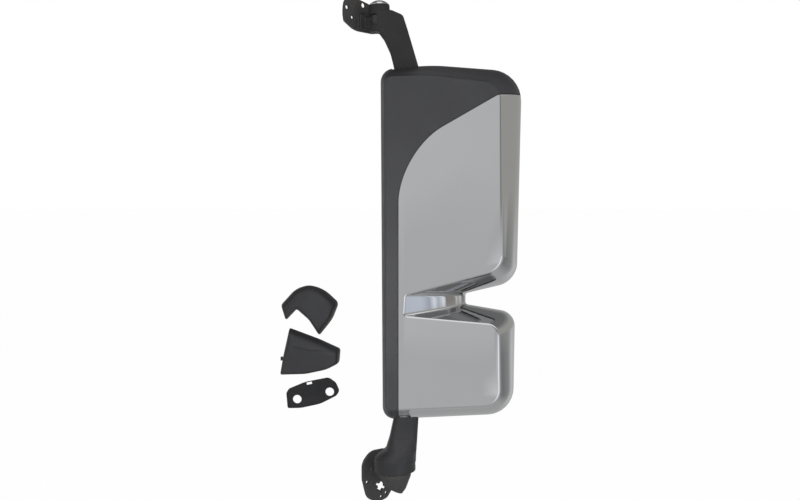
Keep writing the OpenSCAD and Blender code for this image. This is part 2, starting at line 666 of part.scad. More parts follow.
module spindle(i) translate([actuator_spots[2 * i][0], 0, actuator_spots[2 * i][1]]) {
    rod_y(spindle_rod, plate_y - plate_w - 6, pivot_y);
    translate([0, pivot_y, 0]) sphere(r = ball_r);
}

module motor(i) translate([actuator_spots[2 * i + 1][0], 0, actuator_spots[2 * i + 1][1]]) difference() {
    union() {
        rod_y(motor_r, plate_y - plate_w - motor_len, plate_y - plate_w);
        rod_y(4, plate_y - plate_w - motor_len - 2, plate_y - plate_w);
    }
    rod_y(shaft_r + run, plate_y - plate_w - 13, plate_y);
}

// flat or curved layer of a glass, from depth y over thickness t; curve 0 is flat,
// and the layers of a curved glass share one centre
glass_y = carrier_y + carrier_t + heater_t + 2 * glue;
glass_top = glass_y + glass_t;
module layer(corners, c, curve, lift, y, t) {
    if (curve == 0) {
        slab(y, t) translate([-c[0], -c[1]]) polygon(rounded(corners, 8));
    } else {
        centre_y = glass_top - curve;
        intersection() {
            slab(y - 40, 80) translate([-c[0], -c[1]]) polygon(rounded(corners, 8));
            translate([0, centre_y + lift, 0]) difference() {
                sphere(r = y + t - centre_y, $fn = 240);
                sphere(r = y - centre_y, $fn = 240);
            }
        }
    }
}

module carrier(corners, c, curve, lift) difference() {
    union() {
        layer(corners, c, curve, lift, carrier_y, carrier_t);
        for (s = [-1, 1]) translate([-5, pivot_y - 4, s > 0 ? ear_in : -ear_out])
            cube([10, carrier_y + lift - pivot_y + 5, ear_out - ear_in]);
        for (i = [0, 1]) translate([actuator_spots[2 * i][0], 0, actuator_spots[2 * i][1]])
            rod_y(ball_r + socket_gap + 2.5, pivot_y - 5, carrier_y + lift + 0.5);
    }
    translate([0, pivot_y, -ear_out - 1]) cylinder(r = trunnion_r + run, h = 2 * ear_out + 2);
    for (i = [0, 1]) translate([actuator_spots[2 * i][0], 0, actuator_spots[2 * i][1]])
        rod_y(ball_r + socket_gap, pivot_y - 6, carrier_y - 2);
}

module mirror_heater(corners, c, curve, lift)
    layer(inset(corners, 3), c, curve, lift, carrier_y + carrier_t + glue, heater_t);
module mirror_glass(corners, c, curve, lift)
    layer(corners, c, curve, lift, glass_y, glass_t);

wide_lift = 6;   // the curved glass stands this far rearward, so that its edges don't sink in

module main_actuator_base() color(black) at_glass(main_c) actuator_base();
module main_gear_cover() color("#4a4b4f") at_glass(main_c) gear_cover();
module main_gimbal_ring() color(nylon) at_glass(main_c) gimbal_ring();
module main_carrier() color(black) at_glass(main_c) carrier(main_corners, main_c, 0, 0);
module main_heater() color("#b5482e") at_glass(main_c) mirror_heater(main_corners, main_c, 0, 0);
module main_glass() color("#cfe0e8") at_glass(main_c) mirror_glass(main_corners, main_c, 0, 0);
module main_tilt_gear() color(nylon) at_glass(main_c) drive_gear(0);
module main_tilt_pinion() color("goldenrod") at_glass(main_c) drive_pinion(0);
module main_tilt_spindle() color(steel) at_glass(main_c) spindle(0);
module main_tilt_motor() color(steel) at_glass(main_c) motor(0);
module main_pan_gear() color(nylon) at_glass(main_c) drive_gear(1);
module main_pan_pinion() color("goldenrod") at_glass(main_c) drive_pinion(1);
module main_pan_spindle() color(steel) at_glass(main_c) spindle(1);
module main_pan_motor() color(steel) at_glass(main_c) motor(1);

module wide_actuator_base() color(black) at_glass(wide_c) actuator_base();
module wide_gear_cover() color("#4a4b4f") at_glass(wide_c) gear_cover();
module wide_gimbal_ring() color(nylon) at_glass(wide_c) gimbal_ring();
module wide_carrier() color(black) at_glass(wide_c) carrier(wide_corners, wide_c, wide_curve, wide_lift);
module wide_heater() color("#b5482e") at_glass(wide_c) mirror_heater(wide_corners, wide_c, wide_curve, wide_lift);
module wide_glass() color("#cfe0e8") at_glass(wide_c) mirror_glass(wide_corners, wide_c, wide_curve, wide_lift);
module wide_tilt_gear() color(nylon) at_glass(wide_c) drive_gear(0);
module wide_tilt_pinion() color("goldenrod") at_glass(wide_c) drive_pinion(0);
module wide_tilt_spindle() color(steel) at_glass(wide_c) spindle(0);
module wide_tilt_motor() color(steel) at_glass(wide_c) motor(0);
module wide_pan_gear() color(nylon) at_glass(wide_c) drive_gear(1);
module wide_pan_pinion() color("goldenrod") at_glass(wide_c) drive_pinion(1);
module wide_pan_spindle() color(steel) at_glass(wide_c) spindle(1);
module wide_pan_motor() color(steel) at_glass(wide_c) motor(1);

lower_bracket();
lower_pivot_pin();
detent_ring();
spring_washers();
lower_pivot_nut();
upper_bracket();
upper_pivot_bolt();
upper_washer();
upper_dome_nut();
arched_cap();
tapered_cap();
flange_gasket();
lower_arm();
lower_arm_cover();
lower_bush();
upper_arm();
upper_bushes();
spine_tube();
front_housing();
chrome_cover();
rear_bezel();
mounting_plate();
tube_clamps();
clamp_screws();
bezel_screws();
wire_harness();
main_actuator_base();
main_gear_cover();
main_gimbal_ring();
main_carrier();
main_heater();
main_glass();
main_tilt_gear();
main_tilt_pinion();
main_tilt_spindle();
main_tilt_motor();
main_pan_gear();
main_pan_pinion();
main_pan_spindle();
main_pan_motor();
wide_actuator_base();
wide_gear_cover();
wide_gimbal_ring();
wide_carrier();
wide_heater();
wide_glass();
wide_tilt_gear();
wide_tilt_pinion();
wide_tilt_spindle();
wide_tilt_motor();
wide_pan_gear();
wide_pan_pinion();
wide_pan_spindle();
wide_pan_motor();
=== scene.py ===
import json
import math
import bpy
import bmesh
from mathutils import Matrix, Vector


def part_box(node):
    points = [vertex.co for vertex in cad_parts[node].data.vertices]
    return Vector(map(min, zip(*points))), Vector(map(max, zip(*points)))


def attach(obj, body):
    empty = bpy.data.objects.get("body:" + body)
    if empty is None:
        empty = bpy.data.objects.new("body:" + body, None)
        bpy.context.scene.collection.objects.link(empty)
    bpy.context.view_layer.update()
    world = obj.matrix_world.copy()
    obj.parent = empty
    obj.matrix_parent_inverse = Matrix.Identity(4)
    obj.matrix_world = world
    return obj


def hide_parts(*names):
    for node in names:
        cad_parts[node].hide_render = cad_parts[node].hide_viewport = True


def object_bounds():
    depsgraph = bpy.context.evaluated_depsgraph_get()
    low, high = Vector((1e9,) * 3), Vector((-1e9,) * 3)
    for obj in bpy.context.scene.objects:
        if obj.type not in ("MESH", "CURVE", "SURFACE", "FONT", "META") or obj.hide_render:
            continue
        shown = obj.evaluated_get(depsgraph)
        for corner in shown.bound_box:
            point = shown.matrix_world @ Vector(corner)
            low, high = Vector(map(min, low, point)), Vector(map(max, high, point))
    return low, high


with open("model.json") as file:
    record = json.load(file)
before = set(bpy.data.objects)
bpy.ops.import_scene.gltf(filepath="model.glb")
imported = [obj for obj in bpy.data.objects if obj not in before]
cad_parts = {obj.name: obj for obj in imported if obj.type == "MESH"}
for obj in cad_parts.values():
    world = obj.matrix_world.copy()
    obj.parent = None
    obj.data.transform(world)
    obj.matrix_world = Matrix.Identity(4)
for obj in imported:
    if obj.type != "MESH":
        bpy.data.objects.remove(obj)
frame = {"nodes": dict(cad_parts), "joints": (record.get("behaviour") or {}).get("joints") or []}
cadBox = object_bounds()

# sizes below are in millimetres
unit = 0.001
# points closer than this are taken as one place
near = 0.01 * unit
nodes = frame["nodes"]
foldJoint = [j for j in frame["joints"] if j["name"] == "fold"][0]
axisPoint = Vector(foldJoint["pos_m"]) / unit
axisWay = Vector(foldJoint["axis"])
# the head's origin, found from the low corner of the main glass's box, which lies at glassInHead from it
glassInHead = (24, 9.2, 290)
glassLow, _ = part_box("main_glass")
headAt = Vector([low / unit - inHead for low, inHead in zip(glassLow, glassInHead)])


def deselect():
    if bpy.context.object and bpy.context.object.mode != "OBJECT":
        bpy.ops.object.mode_set(mode="OBJECT")
    bpy.ops.object.select_all(action="DESELECT")


def useOnly(obj):
    deselect()
    obj.select_set(True)
    bpy.context.view_layer.objects.active = obj


def editAll(obj):
    useOnly(obj)
    bpy.ops.object.mode_set(mode="EDIT")
    bpy.ops.mesh.select_mode(type="VERT")
    bpy.ops.mesh.select_all(action="SELECT")


def leaveEdit():
    bpy.ops.object.mode_set(mode="OBJECT")


# selects the vertices or edges of the edited mesh that pass the test
def selectWhere(obj, kind, test):
    mesh = bmesh.from_edit_mesh(obj.data)
    bpy.ops.mesh.select_mode(type={"verts": "VERT", "edges": "EDGE"}[kind])
    bpy.ops.mesh.select_all(action="DESELECT")
    for item in getattr(mesh, kind):
        if test(item):
            item.select_set(True)
    mesh.select_flush_mode()
    bmesh.update_edit_mesh(obj.data)


# puts a finished object's place into its mesh
def settle(obj, name):
    obj.name = name
    obj.data.name = name
    useOnly(obj)
    bpy.ops.object.transform_apply(location=True, rotation=True, scale=True)
    return obj


def joined(parts, name):
    deselect()
    for part in parts:
        part.select_set(True)
    bpy.context.view_layer.objects.active = parts[0]
    bpy.ops.object.join()
    parts[0].name = name
    return parts[0]


def applied(obj, kind, **settings):
    modifier = obj.modifiers.new(kind.title(), kind)
    for key, value in settings.items():
        setattr(modifier, key, value)
    useOnly(obj)
    bpy.ops.object.modifier_apply(modifier=modifier.name)
    return obj


def combine(obj, tool, operation, keepTool=False):
    applied(obj, "BOOLEAN", operation=operation, object=tool, solver="EXACT")
    if not keepTool:
        bpy.data.objects.remove(tool)
    return obj


# welds the points and drops the slivers that cutting leaves
def cleaned(obj):
    editAll(obj)
    bpy.ops.mesh.remove_doubles(threshold=0.02 * unit)
    bpy.ops.mesh.dissolve_degenerate(threshold=0.005 * unit)
    leaveEdit()
    return obj


def outward(obj):
    editAll(obj)
    bpy.ops.mesh.normals_make_consistent(inside=False)
    leaveEdit()
    return obj


def smoothByAngle(obj, angle):
    useOnly(obj)
    bpy.ops.object.shade_smooth_by_angle(angle=math.radians(angle))
    return obj


# melts joined solids into one casting with rounded edges and fillets
def softened(obj, voxel, rounds):
    obj.data.remesh_voxel_size = voxel * unit
    obj.data.use_remesh_preserve_volume = False
    useOnly(obj)
    bpy.ops.object.voxel_remesh()
    applied(obj, "SMOOTH", iterations=rounds, factor=0.5)
    useOnly(obj)
    bpy.ops.object.shade_smooth()
    return obj


# an outline's corners are (across, up, radius); a place puts them on the plane it is drawn in
def frontPlace(depth):
    return lambda a, b: Vector((a, depth, b)) * unit


def flatPlace(height):
    return lambda a, b: Vector((a, b, height)) * unit


def turned(u, v):
    return u.x * v.y - u.y * v.x


# moves every side of an outline inwards, and its corner radii with it
def insetCorners(corners, d):
    out = []
    for i, (a, b, r) in enumerate(corners):
        here = Vector((a, b))
        u = (here - Vector(corners[i - 1][:2])).normalized()
        v = (Vector(corners[(i + 1) % len(corners)][:2]) - here).normalized()
        nu, nv = Vector((-u.y, u.x)), Vector((-v.y, v.x))
        moved = here + (nu + nv) * (d / (1 + nu.dot(nv)))
        out.append((moved.x, moved.y, max(0.8, r - d if turned(u, v) > 0 else r + d)))
    return out


# a flat face with rounded corners, drawn corner by corner and then vertex-bevelled
def outline(name, corners, place, segments):
    points = [place(a, b) for a, b, r in corners]
    deselect()
    bpy.ops.mesh.primitive_plane_add(size=unit, location=points[0])
    obj = bpy.context.object
    obj.name = name
    bpy.ops.object.transform_apply(location=True)
    editAll(obj)
    bpy.ops.mesh.merge(type="CENTER")
    for last, point in zip(points, points[1:]):
        bpy.ops.mesh.extrude_region_move(TRANSFORM_OT_translate={"value": point - last})
    bpy.ops.mesh.select_all(action="SELECT")
    bpy.ops.mesh.edge_face_add()
    for i, (_, _, r) in enumerate(corners):
        toLast, toNext = points[i - 1] - points[i], points[(i + 1) % len(points)] - points[i]
        half = toLast.angle(toNext) / 2
        selectWhere(obj, "verts", lambda v: (v.co - points[i]).length < near)
        bpy.ops.mesh.bevel(offset=r * unit / math.tan(half), offset_type="OFFSET", segments=segments,
                           profile=0.5, affect="VERTICES", clamp_overlap=False)
    leaveEdit()
    return obj


# a closed solid through outlines of equal corner count, given as (corners, place, segments)
def loft(name, rings):
    loops = [outline(name, corners, place, segments) for corners, place, segments in rings]
    obj = joined(loops, name)
    editAll(obj)
    bpy.ops.mesh.delete(type="ONLY_FACE")
    bpy.ops.mesh.select_all(action="SELECT")
    bpy.ops.mesh.bridge_edge_loops()
    for corners, place, segments in (rings[0], rings[-1]):
        level = place(*corners[0][:2])
        flat = (place(1, 0) - place(0, 0)).cross(place(0, 1) - place(0, 0)).normalized()
        selectWhere(obj, "verts", lambda v: abs((v.co - level).dot(flat)) < near)
        bpy.ops.mesh.edge_face_add()
    leaveEdit()
    return outward(obj)


def prism(name, corners, y0, y1, segments=7):
    obj = outline(name, corners, frontPlace(y0), segments)
    editAll(obj)
    bpy.ops.mesh.extrude_region_move(TRANSFORM_OT_translate={"value": Vector((0, y1 - y0, 0)) * unit})
    leaveEdit()
    return outward(obj)


# a round bar from z0 to z1, tapered when its second radius differs
def barrel(name, r, z0, z1, vertices=64, r2=None):
    deselect()
    farRadius = r if r2 is None else r2
    bpy.ops.mesh.primitive_cone_add(vertices=vertices, radius1=r * unit, radius2=farRadius * unit,
                                    depth=(z1 - z0) * unit, location=(0, 0, (z0 + z1) / 2 * unit))
    obj = bpy.context.object
    obj.name = name
    bpy.ops.object.transform_apply(location=True)
    return obj


def block(name, low, high):
    deselect()
    low, high = Vector(low) * unit, Vector(high) * unit
    bpy.ops.mesh.primitive_cube_add(size=1, location=(low + high) / 2, scale=high - low)
    obj = bpy.context.object
    obj.name = name
    bpy.ops.object.transform_apply(location=True, scale=True)
    return obj


# spins a half section, given as (radius, height) from axis to axis, into a closed solid
def turnedProfile(name, profile, steps):
    deselect()
    bpy.ops.mesh.primitive_plane_add(size=unit)
    obj = bpy.context.object
    obj.name = name
    editAll(obj)
    bpy.ops.mesh.merge(type="CENTER")
    points = [Vector((r, 0, z)) * unit for r, z in profile]
    bpy.ops.transform.translate(value=points[0])
    for last, point in zip(points, points[1:]):
        bpy.ops.mesh.extrude_region_move(TRANSFORM_OT_translate={"value": point - last})
    bpy.ops.mesh.select_all(action="SELECT")
    bpy.ops.mesh.spin(steps=steps, angle=2 * math.pi, center=(0, 0, 0), axis=(0, 0, 1))
    bpy.ops.mesh.select_all(action="SELECT")
    bpy.ops.mesh.remove_doubles(threshold=0.001 * unit)
    bpy.ops.mesh.normals_make_consistent(inside=False)
    leaveEdit()
    return obj


def rounded(obj, width, segments, angle):
    return applied(obj, "BEVEL", width=width * unit, segments=segments, limit_method="ANGLE",
                   angle_limit=math.radians(angle), use_clamp_overlap=True, harden_normals=False)


def placed(obj, matrix):
    obj.data.transform(matrix)
    return obj


# the place on the fold axis at this height, its z along the axis
def onAxis(height):
    way = axisWay.normalized()
    side = Vector((0, 1, 0))
    across = side.cross(way).normalized()
    turn = Matrix((across, side, way)).transposed().to_4x4()
    foot = axisPoint + way * height
    return Matrix.Translation(foot * unit) @ turn


# both flange plates are turned by this about the vertical, against the vehicle's corner
plateTurn = math.radians(53.13)
plateWay = Vector((math.cos(plateTurn), -math.sin(plateTurn), 0))


def onPlate(point):
    return Matrix.Translation(Vector(point) * unit) @ Matrix.Rotation(-plateTurn, 4, "Z")


# a plate's outline is drawn in x and z and stood across the plate's own x axis
plateStand = Matrix(((0, -1, 0, 0), (1, 0, 0, 0), (0, 0, 1, 0), (0, 0, 0, 1)))


def finishPiece(obj, name, material, body, replaced, angle):
    settle(obj, name)
    smoothByAngle(obj, angle)
    obj.data.materials.clear()
    obj.data.materials.append(material)
    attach(obj, body)
    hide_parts(*replaced)
    return obj


def newMaterial(name):
    material = bpy.data.materials.new(name)
    material.use_nodes = True
    tree = material.node_tree
    shader = tree.nodes["Principled BSDF"]
    coords = tree.nodes.new("ShaderNodeTexCoord")
    return material, tree, shader, coords


def noiseFrom(tree, coords, scale, detail=3, stretch=None):
    noise = tree.nodes.new("ShaderNodeTexNoise")
    noise.inputs["Scale"].default_value = scale
    noise.inputs["Detail"].default_value = detail
    source = coords.outputs["Object"]
    if stretch:
        mapping = tree.nodes.new("ShaderNodeMapping")
        mapping.inputs["Scale"].default_value = stretch
        tree.links.new(source, mapping.inputs["Vector"])
        source = mapping.outputs["Vector"]
    tree.links.new(source, noise.inputs["Vector"])
    return noise.outputs["Fac"]


# a noise keeps to the middle of its range, so the ramp does too
def rampFrom(tree, value, low, high):
    ramp = tree.nodes.new("ShaderNodeValToRGB")
    for element, position, colour in zip(ramp.color_ramp.elements, (0.3, 0.7), (low, high)):
        element.position = position
        element.color = (*colour, 1)
    tree.links.new(value, ramp.inputs["Fac"])
    return ramp.outputs["Color"]


def bumpFrom(tree, shader, value, strength, distance):
    bump = tree.nodes.new("ShaderNodeBump")
    bump.inputs["Strength"].default_value = strength
    bump.inputs["Distance"].default_value = distance
    tree.links.new(value, bump.inputs["Height"])
    tree.links.new(bump.outputs["Normal"], shader.inputs["Normal"])


# a finish with slow colour patches, uneven roughness and a fine grain
def surface(name, dark, light, rough, grainScale, grainDepth, patchScale=12, metallic=0.0, stretch=None,
            specular=0.5):
    material, tree, shader, coords = newMaterial(name)
    patches = noiseFrom(tree, coords, patchScale)
    tree.links.new(rampFrom(tree, patches, dark, light), shader.inputs["Base Color"])
    uneven = noiseFrom(tree, coords, patchScale * 3)
    low, high = rough
    tree.links.new(rampFrom(tree, uneven, (low,) * 3, (high,) * 3), shader.inputs["Roughness"])
    bumpFrom(tree, shader, noiseFrom(tree, coords, grainScale, 4, stretch), 0.5, grainDepth)
    shader.inputs["Metallic"].default_value = metallic
    shader.inputs["Specular IOR Level"].default_value = specular
    return material


# a black plastic's colour, a little blue
def grey(v):
    return (v, v * 1.01, v * 1.1)


housingBlack = surface("housingBlack", grey(0.032), grey(0.038), (0.40, 0.48), 1400, 0.00008, specular=0.4)
coverBlack = surface("coverBlack", grey(0.015), grey(0.020), (0.40, 0.48), 1400, 0.0001, specular=0.4)
# castBlack and armBlack are one black cast finish in two copies: castBlack is made lighter for the brackets
# (painted light) and armBlack darker for the upper arm (painted shade), for how light falls on them
castBlack = surface("castBlack", (0.032, 0.030, 0.030), (0.040, 0.038, 0.038), (0.5, 0.62), 700, 0.00025)
armBlack = surface("armBlack", (0.016, 0.015, 0.015), (0.021, 0.020, 0.020), (0.5, 0.62), 700, 0.00025,
                   specular=0.35)
gasketBlack = surface("gasketBlack", grey(0.012), grey(0.016), (0.6, 0.72), 900, 0.00015, specular=0.3)
innerBlack = surface("innerBlack", grey(0.022), grey(0.028), (0.4, 0.5), 1200, 0.0001)
cableBlack = surface("cableBlack", grey(0.018), grey(0.024), (0.5, 0.6), 1500, 0.0001)
nylonWhite = surface("nylonWhite", (0.66, 0.64, 0.57), (0.74, 0.72, 0.64), (0.4, 0.5), 1200, 0.00008)
zincSteel = surface("zincSteel", (0.44, 0.45, 0.46), (0.53, 0.54, 0.55), (0.3, 0.42), 900, 0.00006, 30, 1.0)
motorSteel = surface("motorSteel", (0.48, 0.49, 0.51), (0.56, 0.57, 0.59), (0.25, 0.33), 400, 0.00004, 30, 1.0,
                     (1, 12, 1))
castMetal = surface("castMetal", (0.5, 0.51, 0.53), (0.6, 0.61, 0.62), (0.42, 0.55), 700, 0.0003, 20, 1.0)
brightSteel = surface("brightSteel", (0.66, 0.67, 0.68), (0.72, 0.73, 0.74), (0.18, 0.26), 600, 0.00002,
                      30, 1.0)
turnedBrass = surface("turnedBrass", (0.66, 0.46, 0.18), (0.75, 0.55, 0.24), (0.25, 0.35), 900, 0.00003,
                      30, 1.0)
chrome = surface("chrome", (0.595, 0.6, 0.61), (0.62, 0.625, 0.635), (0.03, 0.05), 30, 0.00001, 5, 1.0)
silvered = surface("silvered", (0.78, 0.82, 0.84), (0.80, 0.84, 0.86), (0.015, 0.03), 8, 0.000004, 5, 1.0)
heaterFoil = surface("heaterFoil", (0.42, 0.13, 0.07), (0.52, 0.18, 0.1), (0.4, 0.5), 500, 0.0001, 40)
print("materials made")

# CAD pieces that keep their own shape, by finish
keptFinish = {
    zincSteel: ["lower_pivot_pin", "spring_washers", "lower_pivot_nut", "clamp_screws",
                "bezel_screws", "spine_tube", "tube_clamps", "mounting_plate"],
    castMetal: ["lower_arm"],
    castBlack: ["upper_pivot_bolt"],
    nylonWhite: ["detent_ring", "lower_bush", "upper_bushes"],
    cableBlack: ["wire_harness"],
    innerBlack: [], turnedBrass: [], motorSteel: [], heaterFoil: [],
}
for side in ("main", "wide"):
    keptFinish[innerBlack] += [side + "_actuator_base", side + "_gear_cover", side + "_carrier"]
    keptFinish[nylonWhite] += [side + "_gimbal_ring", side + "_tilt_gear", side + "_pan_gear"]
    keptFinish[turnedBrass] += [side + "_tilt_pinion", side + "_pan_pinion"]
    keptFinish[zincSteel] += [side + "_tilt_spindle", side + "_pan_spindle"]
    keptFinish[motorSteel] += [side + "_tilt_motor", side + "_pan_motor"]
    keptFinish[heaterFoil] += [side + "_heater"]
for material, names in keptFinish.items():
    for name in names:
        nodes[name].data.materials.clear()
        nodes[name].data.materials.append(material)
print("kept pieces finished")

# head shells: their outline at the rim and at the flat front face, seen from the front
headShape = {
    "width": 275, "height": 698, "depth": 87, "rimDepth": 2, "inboard": -37.5,
    "skin": 2.0, "gap": 0.3, "wall": 2.5, "faceRound": 3,
    "channelLow": 227, "channelHigh": 249, "channelIn": 107,
    "steps": (0, 0.1, 0.2, 0.32, 0.44, 0.56, 0.67, 0.77, 0.86, 0.94, 1), "cornerSegments": 8,
    "seam": 1.8, "mark": {"at": (54.8, -86.6, 560.4), "radius": 2.2, "innerRadius": 1.2, "deep": 3},
}
outboard = headShape["width"] + headShape["inboard"]
inboard = headShape["inboard"]
headTop = headShape["height"]
chLow, chHigh = headShape["channelLow"], headShape["channelHigh"]
channelEnd = outboard - headShape["channelIn"]
rimCorners = [(inboard + 3.5, 0, 25), (outboard - 11.5, 12, 52), (outboard - 8.5, chLow - 17, 30),
              (channelEnd, chLow, 6), (channelEnd, chHigh, 6), (outboard - 5.5, chHigh + 24, 45),
              (outboard, headTop - 16, 60), (outboard * 0.26, headTop - 3, 300), (inboard, headTop - 12, 26)]
faceCorners = [(inboard + 9, 31, 12), (outboard - 44.5, 41, 32), (outboard - 47.5, chLow - 28, 25),
               (10, chLow - 12, 5), (12, chHigh + 4, 5), (outboard - 41.5, chHigh + 54, 35),
               (outboard - 46, headTop - 45, 35), (outboard * 0.21, headTop - 29, 200),
               (inboard + 8, headTop - 32, 15)]
# how late each corner leaves the rim's outline on its way to the face
bulge = [2.5, 2.5, 1.6, 1.6, 1.6, 1.6, 3, 3, 3]
# the chrome cover's part of the front
brightCorners = [(-2.5, 3, 24), (50, -5, 60), (outboard + 60, -60, 2), (outboard + 60, headTop - 58, 2),
                 (outboard - 53, headTop - 66, 25), (-2.5, headTop - 173, 165)]
cornerSegments = headShape["cornerSegments"]


def shellCorners(share):
    out = []
    for rimCorner, faceCorner, power in zip(rimCorners, faceCorners, bulge):
        out.append(tuple(r + (f - r) * share ** power for r, f in zip(rimCorner, faceCorner)))
    return out


# the front shell as a solid, every wall moved in by inset; over lengthens it past the rim
def frontSolid(name, inset, over=0):
    depth, rim, soft = headShape["depth"], headShape["rimDepth"], headShape["faceRound"]
    rings = []
    if over:
        rings.append((insetCorners(rimCorners, inset), frontPlace(rim + over), cornerSegments))
    for share in headShape["steps"]:
        corners = insetCorners(shellCorners(share), inset)
        rings.append((corners, frontPlace(rim - share * (depth - soft - inset)), cornerSegments))
    for turn in (0.35, 0.7, 1.0):
        a = turn * math.pi / 2
        corners = insetCorners(faceCorners, inset + (soft + 1) * (1 - math.cos(a)))
        rings.append((corners, frontPlace(rim - depth + inset + soft * (1 - math.sin(a))), cornerSegments))
    return loft(name, rings)


atHead = Matrix.Translation(headAt * unit)
skin, gap, wall = headShape["skin"], headShape["gap"], headShape["wall"]

# the lower arm cover: a round foot and a stem, given by its sides at some heights
foot = {"radius": 41, "low": 19.4, "high": 40.4, "wall": 2.5}
stemTop = headAt.z + 14
stem = {"left": ((44, axisPoint.x - foot["radius"]), (52, 6), (62, 20.5), (86, 28), (stemTop, 37.7)),
        "right": ((44, axisPoint.x + foot["radius"]), (62, 80.6), (86, 82), (stemTop, 85)),
        "half": ((44, foot["radius"]), (52, 39.5), (62, 36), (86, 28), (stemTop, 20)),
        "round": ((44, foot["radius"] - 0.5), (52, 36), (62, 24), (86, 12), (stemTop, 10)),
        "levels": (38, 44, 48, 52, 57, 62, 72, 86, 106, stemTop)}


# the value at height z in a list of (height, value), level beyond both ends
def lookedUp(table, z):
    if z <= table[0][0]:
        return table[0][1]
    for (z0, v0), (z1, v1) in zip(table, table[1:]):
        if z <= z1:
            return v0 + (v1 - v0) * (z - z0) / (z1 - z0)
    return table[-1][1]


def stemRing(z, grow):
    x0, x1 = lookedUp(stem["left"], z) - grow, lookedUp(stem["right"], z) + grow
    half, r = lookedUp(stem["half"], z) + grow, lookedUp(stem["round"], z) + grow
    y0, y1 = axisPoint.y - half, axisPoint.y + half
    return [(x0, y0, r), (x1, y0, r), (x1, y1, r), (x0, y1, r)], flatPlace(z), 8


# the upper arm's leg, whose outline starts in the head and rises to the knuckle
elbow = {"halfDepth": 19, "end": -18,
         "corners": [(39, -18, 3), (84.5, -18, 3), (83, -7, 40), (63, 60, 30), (54, 88, 10), (31, 98, 14),
                     (9, 96, 6), (6, 60, 6), (18, 44, 20), (30, 18, 30)]}


# cutters for the ways of both arms through the head's walls
def armWays():
    low = loft("lowWay", [stemRing(z, 1) for z in (86, 106, stemTop, stemTop + 30)])
    half = elbow["halfDepth"] + 1
    longer = [(a, b - 30 if b == elbow["end"] else b, r) for a, b, r in elbow["corners"]]
    high = prism("highWay", insetCorners(longer, -1), axisPoint.y - half, axisPoint.y + half)
    placed(high, Matrix.Translation(Vector((0, 0, headAt.z + headTop)) * unit))
    return [low, high]


brightPrism = prism("brightPrism", brightCorners, -150, 50, 20)

chromeCover = frontSolid("chromeCover", 0)
combine(chromeCover, brightPrism, "INTERSECT", keepTool=True)
combine(chromeCover, frontSolid("skinTool", skin, 5), "DIFFERENCE")
placed(chromeCover, atHead)
for way in armWays():
    combine(chromeCover, way, "DIFFERENCE")
cleaned(chromeCover)
finishPiece(chromeCover, "chromeCover", chrome, "head", ["chrome_cover"], 28)
print("chrome cover made", len(chromeCover.data.polygons))

frontHousing = frontSolid("frontHousing", 0)
combine(frontHousing, frontSolid("wallTool", skin + gap + wall, 5), "DIFFERENCE")
pocket = frontSolid("pocket", -5, 5)
combine(pocket, frontSolid("pocketTool", skin + gap, 6), "DIFFERENCE")
grown = prism("grownPrism", insetCorners(brightCorners, -headShape["seam"]), -160, 60, 20)
combine(pocket, grown, "INTERSECT")
combine(frontHousing, pocket, "DIFFERENCE")
mark = headShape["mark"]
dent = placed(barrel("mark", mark["radius"], 0, mark["deep"], 32, mark["innerRadius"]),
              Matrix.Rotation(math.radians(-90), 4, "X"))
combine(frontHousing, placed(dent, Matrix.Translation(Vector(mark["at"]) * unit)), "DIFFERENCE")
placed(frontHousing, atHead)
for way in armWays():
    combine(frontHousing, way, "DIFFERENCE")
cleaned(frontHousing)
finishPiece(frontHousing, "frontHousing", housingBlack, "head", ["front_housing"], 28)
bpy.data.objects.remove(brightPrism)
print("front housing made", len(frontHousing.data.polygons))

# glasses and the rear bezel with its two openings
glassShape = {"gap": 5, "thick": 3, "y": 9.2, "left": 24, "curve": 600, "lift": 6, "cuts": 18, "edge": 0.8,
              "lip": 2, "lipFrom": 6, "lipTo": 17.6}
glassLeft = glassShape["left"]
mainGlassCorners = [(glassLeft, chHigh + 41, 25), (outboard - 16, chHigh + 41, 45),
                    (outboard - 16, headTop - 26, 50), (glassLeft, headTop - 26, 25)]
wideGlassCorners = [(glassLeft, 25, 25), (outboard - 27, 25, 38), (outboard - 27, chLow - 27, 34),
                    (glassLeft, chLow - 27, 20)]
# steps are (depth behind the rim, distance in from its side)
bezel = {"steps": ((0, 0), (5, 0.2), (9, 1.0), (12.5, 2.3), (15.5, 4.2), (17.2, 6.2), (17.7, 8.5)), "wall": 3,
         "screwRadius": 2.2, "screwX": -23, "screwHeights": (60, chLow + 10, headTop * 0.57, headTop - 60),
         "sharp": 60, "behind": 19, "edge": 1.1}


def bezelSolid(name, inset, over):
    rim = headShape["rimDepth"] + gap
    rings = []
    for i, (depth, side) in enumerate(bezel["steps"]):
        y = rim + depth - (over if i == 0 else inset)
        rings.append((insetCorners(rimCorners, side + inset), frontPlace(y), cornerSegments))
    return loft(name, rings)


# a rolled edge round a glass opening
def openingLip(name, corners):
    outer = glassShape["gap"] + glassShape["lip"]
    low, high = (headShape["rimDepth"] + glassShape[end] for end in ("lipFrom", "lipTo"))
    return prism(name, insetCorners(corners, -outer), low, high, 8)


